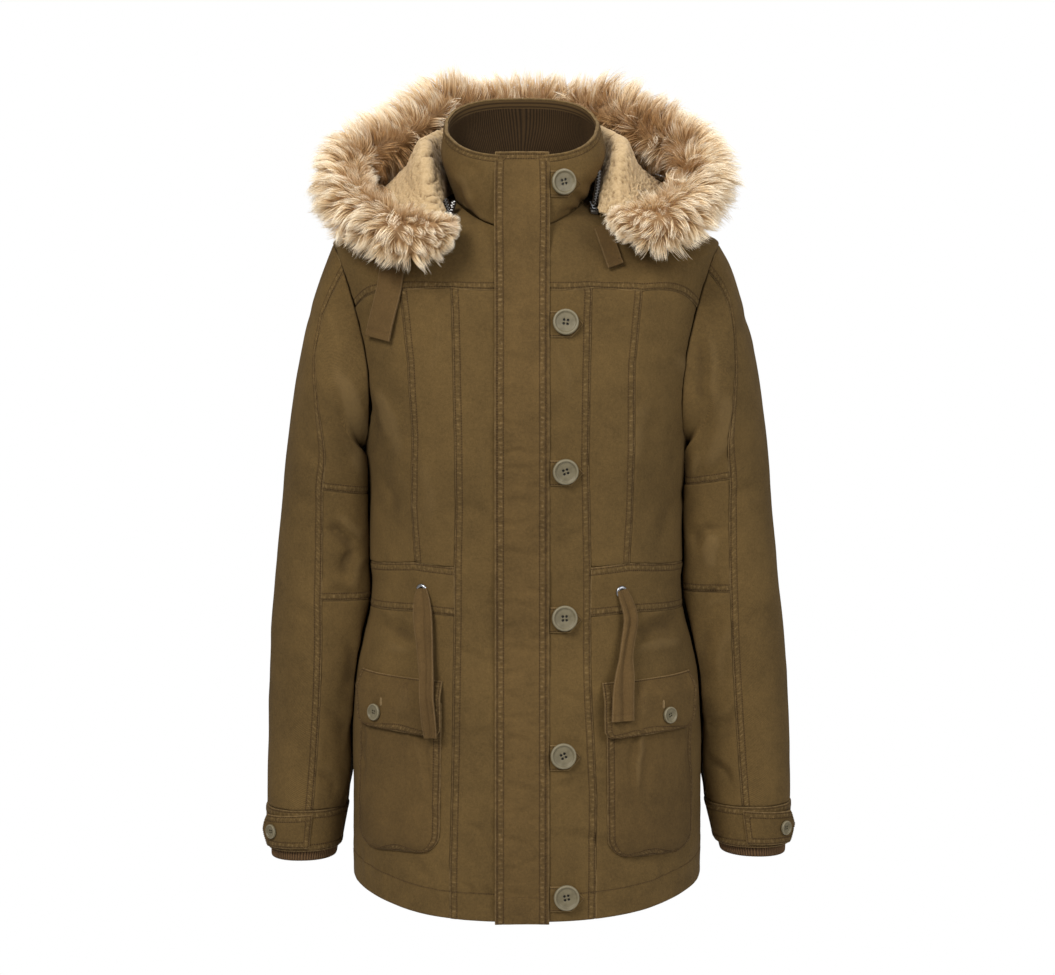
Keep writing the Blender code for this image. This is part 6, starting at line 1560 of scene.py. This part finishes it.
def hoodForm(tree, furTree):
    shares = np.linspace(0, 1, hood["columns"] + 1)
    angles = hood["start"] + (360 - 2 * hood["start"]) * (1 - shares)
    flat = np.ones(shares.shape)
    full = ease(np.minimum(shares, 1 - shares), 0, hood["frontShare"])

    def off(surface, level, out):
        places, normals = surface(angles, flat * level)
        return places + normals * out * mm

    seam = off(bodySurface, ring["neck"] - (hood["seam"] * full + hood["corner"] * (1 - full)), 8.0)
    rim, away = rimLine(furTree, shares, seam)
    stand = [off(collarSurface, level, out) for level, out in hood["stand"]]
    bag = [off(bodySurface, ring["neck"] - drop, out) for drop, out in hood["bag"]]
    for share, bulge in hood["rise"]:
        bag.append(bag[len(hood["bag"]) - 1] * (1 - share) + rim * share + away * bulge * mm)
    over = np.linspace(0, 1, len(bag) + 2)[1:-1]
    down = -upward * hood["sag"] * mm
    beside = [stand[-1] * (1 - share) + rim * share + down * math.sin(math.pi * share) for share in over]
    behind = ease(np.sin(np.pi * shares), *hood["behind"])[:, None]
    shaped = [seam] + stand + [a * (1 - behind) + b * behind for a, b in zip(beside, bag)] + [rim]
    straight = [seam * (1 - share) + rim * share for share in np.linspace(0, 1, len(shaped))]
    full = full[:, None]
    grid = np.stack([a * (1 - full) + b * full for a, b in zip(straight, shaped)])
    hanging = len(hood["stand"]) + 1
    for _ in range(hood["smoothing"]):
        rows = grid[hanging - 1:]
        around = rows[1:-1, 1:-1] * 4 + rows[:-2, 1:-1] + rows[2:, 1:-1] + rows[1:-1, :-2] + rows[1:-1, 2:]
        grid[hanging:-1, 1:-1] = around / 8
    grid[:-1] = pushClear(grid[:-1], furTree, hood["rimClear"] * mm)
    grid[:hanging - 2] = pushClear(grid[:hanging - 2], tree, hood["rimClear"] * mm)
    return pushClear(grid, tree, hood["clear"] * mm)


def curlHeight(u, v, size, seed):  # round tufts of pile, from 0 to 1
    u, v = u / size, v / size
    best = np.full(u.shape, 9.0)
    for du, dv in itertools.product((-1, 0, 1), repeat=2):
        cellU, cellV = np.floor(u).astype(np.int64) + du, np.floor(v).astype(np.int64) + dv
        mix = (cellU * 73856093 ^ cellV * 19349663 ^ seed * 83492791) & 0xffffffff
        mix = (mix ^ (mix >> 13)) * 1274126177 & 0xffffffff
        jitterU, jitterV = (mix & 0xffff) / 65535, (mix >> 16 & 0xffff) / 65535
        best = np.minimum(best, (cellU + jitterU - u)**2 + (cellV + jitterV - v)**2)
    return np.sqrt(np.maximum(0, 1 - best / 0.62))


def makeHood():
    around = [bodySkin, collarSkin] + [np.concatenate([form, form[:, :1]], axis=1)[:, ::-1 if side == "r" else 1]
                                       for side, form in sleeveForms.items()]
    form = hoodForm(skinTree(around), nodeTree("fur_trim"))
    hood["rim"] = form[-1]
    gaps = alongEdge(form)
    tall, wide = float(np.median(gaps["low"][-1])), float(gaps["first"][-1, -1])

    def sampled(step):  # a finer grid of the form and the way into the hood at each of its points
        places = [(count - 1) * spread(size, step * mm, False) for count, size in zip(form.shape, (tall, wide))]
        grid = finer(form, *places)
        inward = gridNormals(grid)
        return grid, inward if inward[len(grid) // 8, inward.shape[1] // 2, 1] < 0 else -inward

    grid, inward = sampled(hood["shellStep"])
    clothPanel("hood_shell", grid, -inward, dict(low=1, top=1), 640, backCreases, thick=hood["wall"], strength=0.6)
    grid, inward = sampled(hood["liningStep"])
    gaps = alongEdge(grid)
    u, v = gaps["first"] / mm, gaps["low"] / mm
    u = u + 1.6 * flatNoise(u, v, 9, 645)
    v = v + 1.6 * flatNoise(u, v, 9, 646)
    curl = curlHeight(u, v, hood["curl"], 7)
    rise = 0.35 + curl * hood["curlRise"] + 0.8 * flatNoise(u, v, 16, 647)
    shown = lifted(grid, inward, hood["wall"] + hood["pileGap"] + hood["pileWall"] + rise)
    thing = shellPiece("hoodLining", shown, inward, hood["pileWall"],
                       fields={"relief": curl * 1.6 - 0.8, "edgeGap": 0.2, "ribbonGap": 0.2})
    finishPiece(thing, "pile", ("hood_lining",))


makeHood()
print("hood")


# fur: a core roll that runs out to the hood's rim, then tufts of hair that lie from the rim outwards over it
fur = {"core": 0.50, "toRim": 0.46, "taper": (0.45, 0.85, 1.0), "coreStations": 96, "coreSides": 26,
       "strands": 17000, "backStrands": 12600, "tufts": 500, "rise": (0.95, 0.48), "sweep": (0.40, 1.0), "drop": 0.26,
       "endSweep": 1.0, "reach": (0.86, 1.20),
       "guard": (0.20, 1.28), "clump": 0.56, "width": 0.58, "shortest": 9.0, "longest": 70.0, "ringCentre": (0, 8, 45),
       "rest": (0, 0.26, 0.52, 0.78, 1.0), "paleEnds": 0.24, "ends": (0.004, 0.996), "parts": (0.34, 0.66),
       # places with longer or shorter tufts: x, y, z, reach, gain
       "peaks": ((-92, 112, 125, 26, 0.42), (96, 100, 122, 24, 0.38), (-108, -122, -62, 26, 0.22),
                 (134, -116, -58, 26, 0.38), (92, -100, -30, 18, 0.2), (200, -20, 24, 28, 0.22),
                 (-196, -40, -4, 30, -0.18), (0, 140, 128, 34, 0.10))}


def furFrame(shares):  # centre, radius, direction along and the two directions across at shares of the fur's length
    line, steps = furLine(600), np.linspace(0, 1, 600)
    centre, radius = readAt(line[:, :3], shares, steps), np.interp(shares, steps, line[:, 3])
    along = unit(readAt(unit(np.gradient(line[:, :3], axis=0)), shares, steps))
    rimShare = (shares - hood["rimStart"]) / (1 - 2 * hood["rimStart"])
    rim = readAt(hood["rim"] / mm, rimShare, np.linspace(0, 1, len(hood["rim"])))
    ways = (place - centre for place in (np.array(fur["ringCentre"], dtype=float), rim))
    inward, rimWay = (unit(way - along * np.sum(way * along, axis=-1, keepdims=True)) for way in ways)
    radius = radius * np.interp(np.minimum(shares, 1 - shares) * 38, (0, 1, 2), fur["taper"])
    return centre, radius, along, inward, np.cross(along, inward), rimWay


def coreShare(outward, rimWay):
    return fur["core"] + fur["toRim"] * ease(np.sum(outward * rimWay, axis=-1), 0.45, 0.97)


def makeFurCore():
    stations, sides = fur["coreStations"], fur["coreSides"]
    centre, radius, _, inward, across, rimWay = furFrame(np.linspace(*fur["ends"], stations))
    turn = 2 * math.pi * np.arange(sides) / sides
    ringWay = inward[:, None] * np.cos(turn)[None, :, None] + across[:, None] * np.sin(turn)[None, :, None]
    out = radius[:, None] * coreShare(ringWay, rimWay[:, None])
    points = centre[:, None] + ringWay * out[..., None]
    points = points + ringWay * (1.6 * softNoise(points, 13, 701))[..., None]
    thing = meshPiece("furCore", points.reshape(-1, 3) * mm, tube(stations, sides) + lids(stations, sides))
    setField(thing.data, "along", np.full(stations * sides, 0.12))
    setField(thing.data, "pick", np.ravel(0.25 + 0.3 * softNoise(points, 9, 702)))
    finishPiece(thing, "fur", ("fur_trim",))


def furRoots(count, start, end):  # roots, outward and flow directions of hairs between two shares of the length
    shares = chance.uniform(start, end, count)
    turn = chance.uniform(0, 2 * math.pi, count)
    centre, radius, along, inward, across, rimWay = furFrame(shares)
    outward = inward * np.cos(turn)[:, None] + across * np.sin(turn)[:, None]
    root = centre + outward * (radius * coreShare(outward, rimWay) * 0.97)[:, None]
    over = outward * np.sum(inward * outward, axis=-1, keepdims=True) - inward
    nearEnd = np.clip(1 - np.minimum(shares, 1 - shares) / 0.10, 0, 1)
    flow = over + along * (np.where(shares < 0.5, -1, 1) * nearEnd * fur["endSweep"])[:, None]
    return root, outward, flow, np.sum(inward * outward, axis=-1), np.sum(outward * rimWay, axis=-1)


def growFur(name, start, end, count, tree):
    root, outward, flow, facingIn, facingRim = furRoots(count, start, end)
    tuftRoot = furRoots(fur["tufts"], start, end)[0]
    finder = KDTree(len(tuftRoot))
    for n, place in enumerate(tuftRoot):
        finder.insert(place, n)
    finder.balance()
    tuft = np.array([finder.find(place)[1] for place in root])
    wave = np.stack([softNoise(root, 16.0, 710 + k) for k in range(3)], axis=-1)
    tuftTurn = chance.normal(0, 0.20, (len(tuftRoot), 3))
    tuftLength = chance.normal(1.0, 0.12, len(tuftRoot))
    for x, y, z, near, gain in fur["peaks"]:
        tuftLength += gain * np.exp(-np.sum((tuftRoot - (x, y, z))**2, axis=1) / near**2)
    tuftPick = 0.66 + 0.4 * softNoise(tuftRoot, 26, 720) + chance.normal(0, 0.14, len(tuftRoot))
    tuftPick = np.clip(tuftPick + fur["paleEnds"] * (tuftRoot[:, 1] < -70), 0, 1)
    turned = chance.normal(0, 0.09, root.shape) + wave * 0.22 + tuftTurn[tuft]
    first = unit(outward * fur["rise"][0] + flow * fur["sweep"][0] + turned * 0.45)
    last = unit(outward * fur["rise"][1] + flow * fur["sweep"][1] - upward * fur["drop"] + turned)
    straight = unit(first + last)
    reach, keep = np.zeros(len(root)), np.zeros(len(root), dtype=bool)
    for n in range(len(root)):
        hit, normal, _, distance = tree.ray_cast(Vector(root[n] * mm), Vector(straight[n]))
        if hit is not None and normal.dot(Vector(straight[n])) > 0:
            keep[n], reach[n] = True, distance / mm
    keep |= facingRim > 0.6
    length = reach / (np.linalg.norm(first + last, axis=1) / 2)
    length *= fur["reach"][0] + (fur["reach"][1] - fur["reach"][0]) * chance.uniform(0, 1, len(root))**1.4
    length *= tuftLength[tuft] * np.where(chance.uniform(0, 1, len(root)) < fur["guard"][0], fur["guard"][1], 1.0)
    length = np.clip(length, fur["shortest"] * chance.uniform(0.8, 1.3, len(root)), fur["longest"])
    root, first, last, length, tuft, facingIn, outward = (values[keep] for values in (
        root, first, last, length, tuft, facingIn, outward))
    sums = np.zeros((len(tuftRoot), 3))
    counts = np.maximum(np.bincount(tuft, minlength=len(tuftRoot)), 1)[:, None]
    tip = root + (first + last) / 2 * length[:, None]
    np.add.at(sums, tuft, tip)
    toward = (sums / counts)[tuft] - tip
    spine = []
    for t in fur["rest"]:
        place = root + (first * (t - t * t / 2) + last * (t * t / 2)) * length[:, None]
        spine.append(place + toward * fur["clump"] * t**1.6 + chance.normal(0, 0.35, root.shape) * t)
    spine = np.stack(spine, axis=1)
    side = unit(np.cross(unit(spine[:, 1] - spine[:, 0]), outward + chance.normal(0, 0.5, root.shape)))
    width = fur["width"] * chance.uniform(0.7, 1.25, len(root)) * np.clip(length / 30, 0.55, 1.1)
    points = np.zeros((len(root), 9, 3))
    for k, share in enumerate((0.85, 1.0, 0.8, 0.5)):
        points[:, 2 * k] = spine[:, k] - side * (width * share / 2)[:, None]
        points[:, 2 * k + 1] = spine[:, k] + side * (width * share / 2)[:, None]
    points[:, 8] = spine[:, 4]
    base = np.arange(len(root))[:, None] * 9
    faces = np.concatenate([base + np.array([2 * k, 2 * k + 1, 2 * k + 3, 2 * k + 2]) for k in range(3)]).tolist()
    thing = meshPiece(name, points.reshape(-1, 3) * mm, faces + (base + np.array([6, 7, 8])).tolist())
    setField(thing.data, "along", np.tile(np.repeat(fur["rest"][:4], 2).tolist() + [1.0], len(root)))
    # hairs that face in towards the hood are darker: painted shade
    pick = tuftPick[tuft] + chance.normal(0, 0.12, len(root)) - 0.5 * np.clip(facingIn, -0.4, 1)
    setField(thing.data, "pick", np.repeat(np.clip(pick, 0, 1), 9))
    finishPiece(thing, "fur")
    print(name, len(root), "hairs")


makeFurCore()
furLimits = nodeTree("fur_trim")
for name, start, end, count in (("furHairR", fur["ends"][0], fur["parts"][0], fur["strands"]),
                                ("furHairBack", *fur["parts"], fur["backStrands"]),
                                ("furHairL", fur["parts"][1], fur["ends"][1], fur["strands"])):
    growFur(name, start, end, count, furLimits)
print("fur")


# hood zip: short runs of metal teeth on dark tape, beside the slider and at the other front corner
zipTeeth = {"pitch": 1.55, "size": (2.7, 1.15, 1.3), "stagger": 0.75, "tape": 6.4, "tapeTop": -1.0, "tapeWall": 0.7,
            "facing": {"L": (0.45, -0.89, 0.05), "R": (-0.30, -0.95, 0.10)},
            "lines": {"L": (((70.5, -40, -1), (72.6, -36, 10), (74.2, -34, 21), (75.2, -33, 34)),),
                      "R": (((-83, -51, 6), (-80.5, -52, -1), (-78.5, -53, -9)),
                            ((-74, -49, 4), (-76, -51, -2), (-78, -53, -9)))}}


def makeZipTeeth(tag):
    points, faces, tapePoints, tapeFaces = [], [], [], []
    facing = unit(np.array(zipTeeth["facing"][tag]))
    wide, tall, deep = (v / 2 for v in zipTeeth["size"])
    for line in zipTeeth["lines"][tag]:
        line = np.array(line, dtype=float)
        run = runOf(line)
        at = np.arange(0.5, run[-1], zipTeeth["pitch"])
        centre = readAt(line, at, run)
        along = unit(np.gradient(centre, axis=0))
        side = unit(np.cross(along, facing))
        out = np.cross(side, along)
        for n in range(len(at)):
            middle = centre[n] + side[n] * (zipTeeth["stagger"] if n % 2 else -zipTeeth["stagger"])
            faces += lids(3, 4, len(points)) + tube(3, 4, len(points))
            for h, narrow in ((-deep, 1.0), (deep * 0.5, 1.0), (deep, 0.72)):
                for a, b in ((-1, -1), (1, -1), (1, 1), (-1, 1)):
                    points.append(middle + side[n] * wide * a * narrow + along[n] * tall * b * narrow + out[n] * h)
        half, top = zipTeeth["tape"] / 2, zipTeeth["tapeTop"]
        low = top - zipTeeth["tapeWall"]
        tapeFaces += tube(len(at), 4, len(tapePoints)) + lids(len(at), 4, len(tapePoints))
        for n in range(len(at)):
            uneven = 0.12 * softNoise(centre[n:n + 1], 5, 77)[0]
            for a, h in ((-half, top), (half, top), (half, low), (-half, low)):
                tapePoints.append(centre[n] + side[n] * a + out[n] * (h + uneven))
    for name, at, sides, material, slotName in ((f"zipTeeth{tag}", points, faces, "toothMetal", "metal"),
                                                (f"zipTape{tag}", tapePoints, tapeFaces, "zipTape", "tape")):
        thing = meshPiece(name, np.array(at) * mm, sides, False)
        turned = bmesh.new()
        turned.from_mesh(thing.data)
        bmesh.ops.recalc_face_normals(turned, faces=turned.faces)
        turned.to_mesh(thing.data)
        turned.free()
        finishPiece(thing, material)


makeZipTeeth("L")
makeZipTeeth("R")


# the zip's slider and pull keep their solids and get a worn metal finish
for name, material in (("zip_slider", "greyMetal"), ("zip_pull", "silver")):
    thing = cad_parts[name]
    if not thing.material_slots:
        thing.data.materials.append(materials[material])
    for slot in thing.material_slots:
        slot.link = "OBJECT"
        slot.material = materials[material]


# thread
half = (len(stitches) + 1) // 2
for number, rows in enumerate((stitches[:half], stitches[half:]), start=1):
    finishPiece(makeStitches(f"thread{number}", rows), "thread")
print("thread")
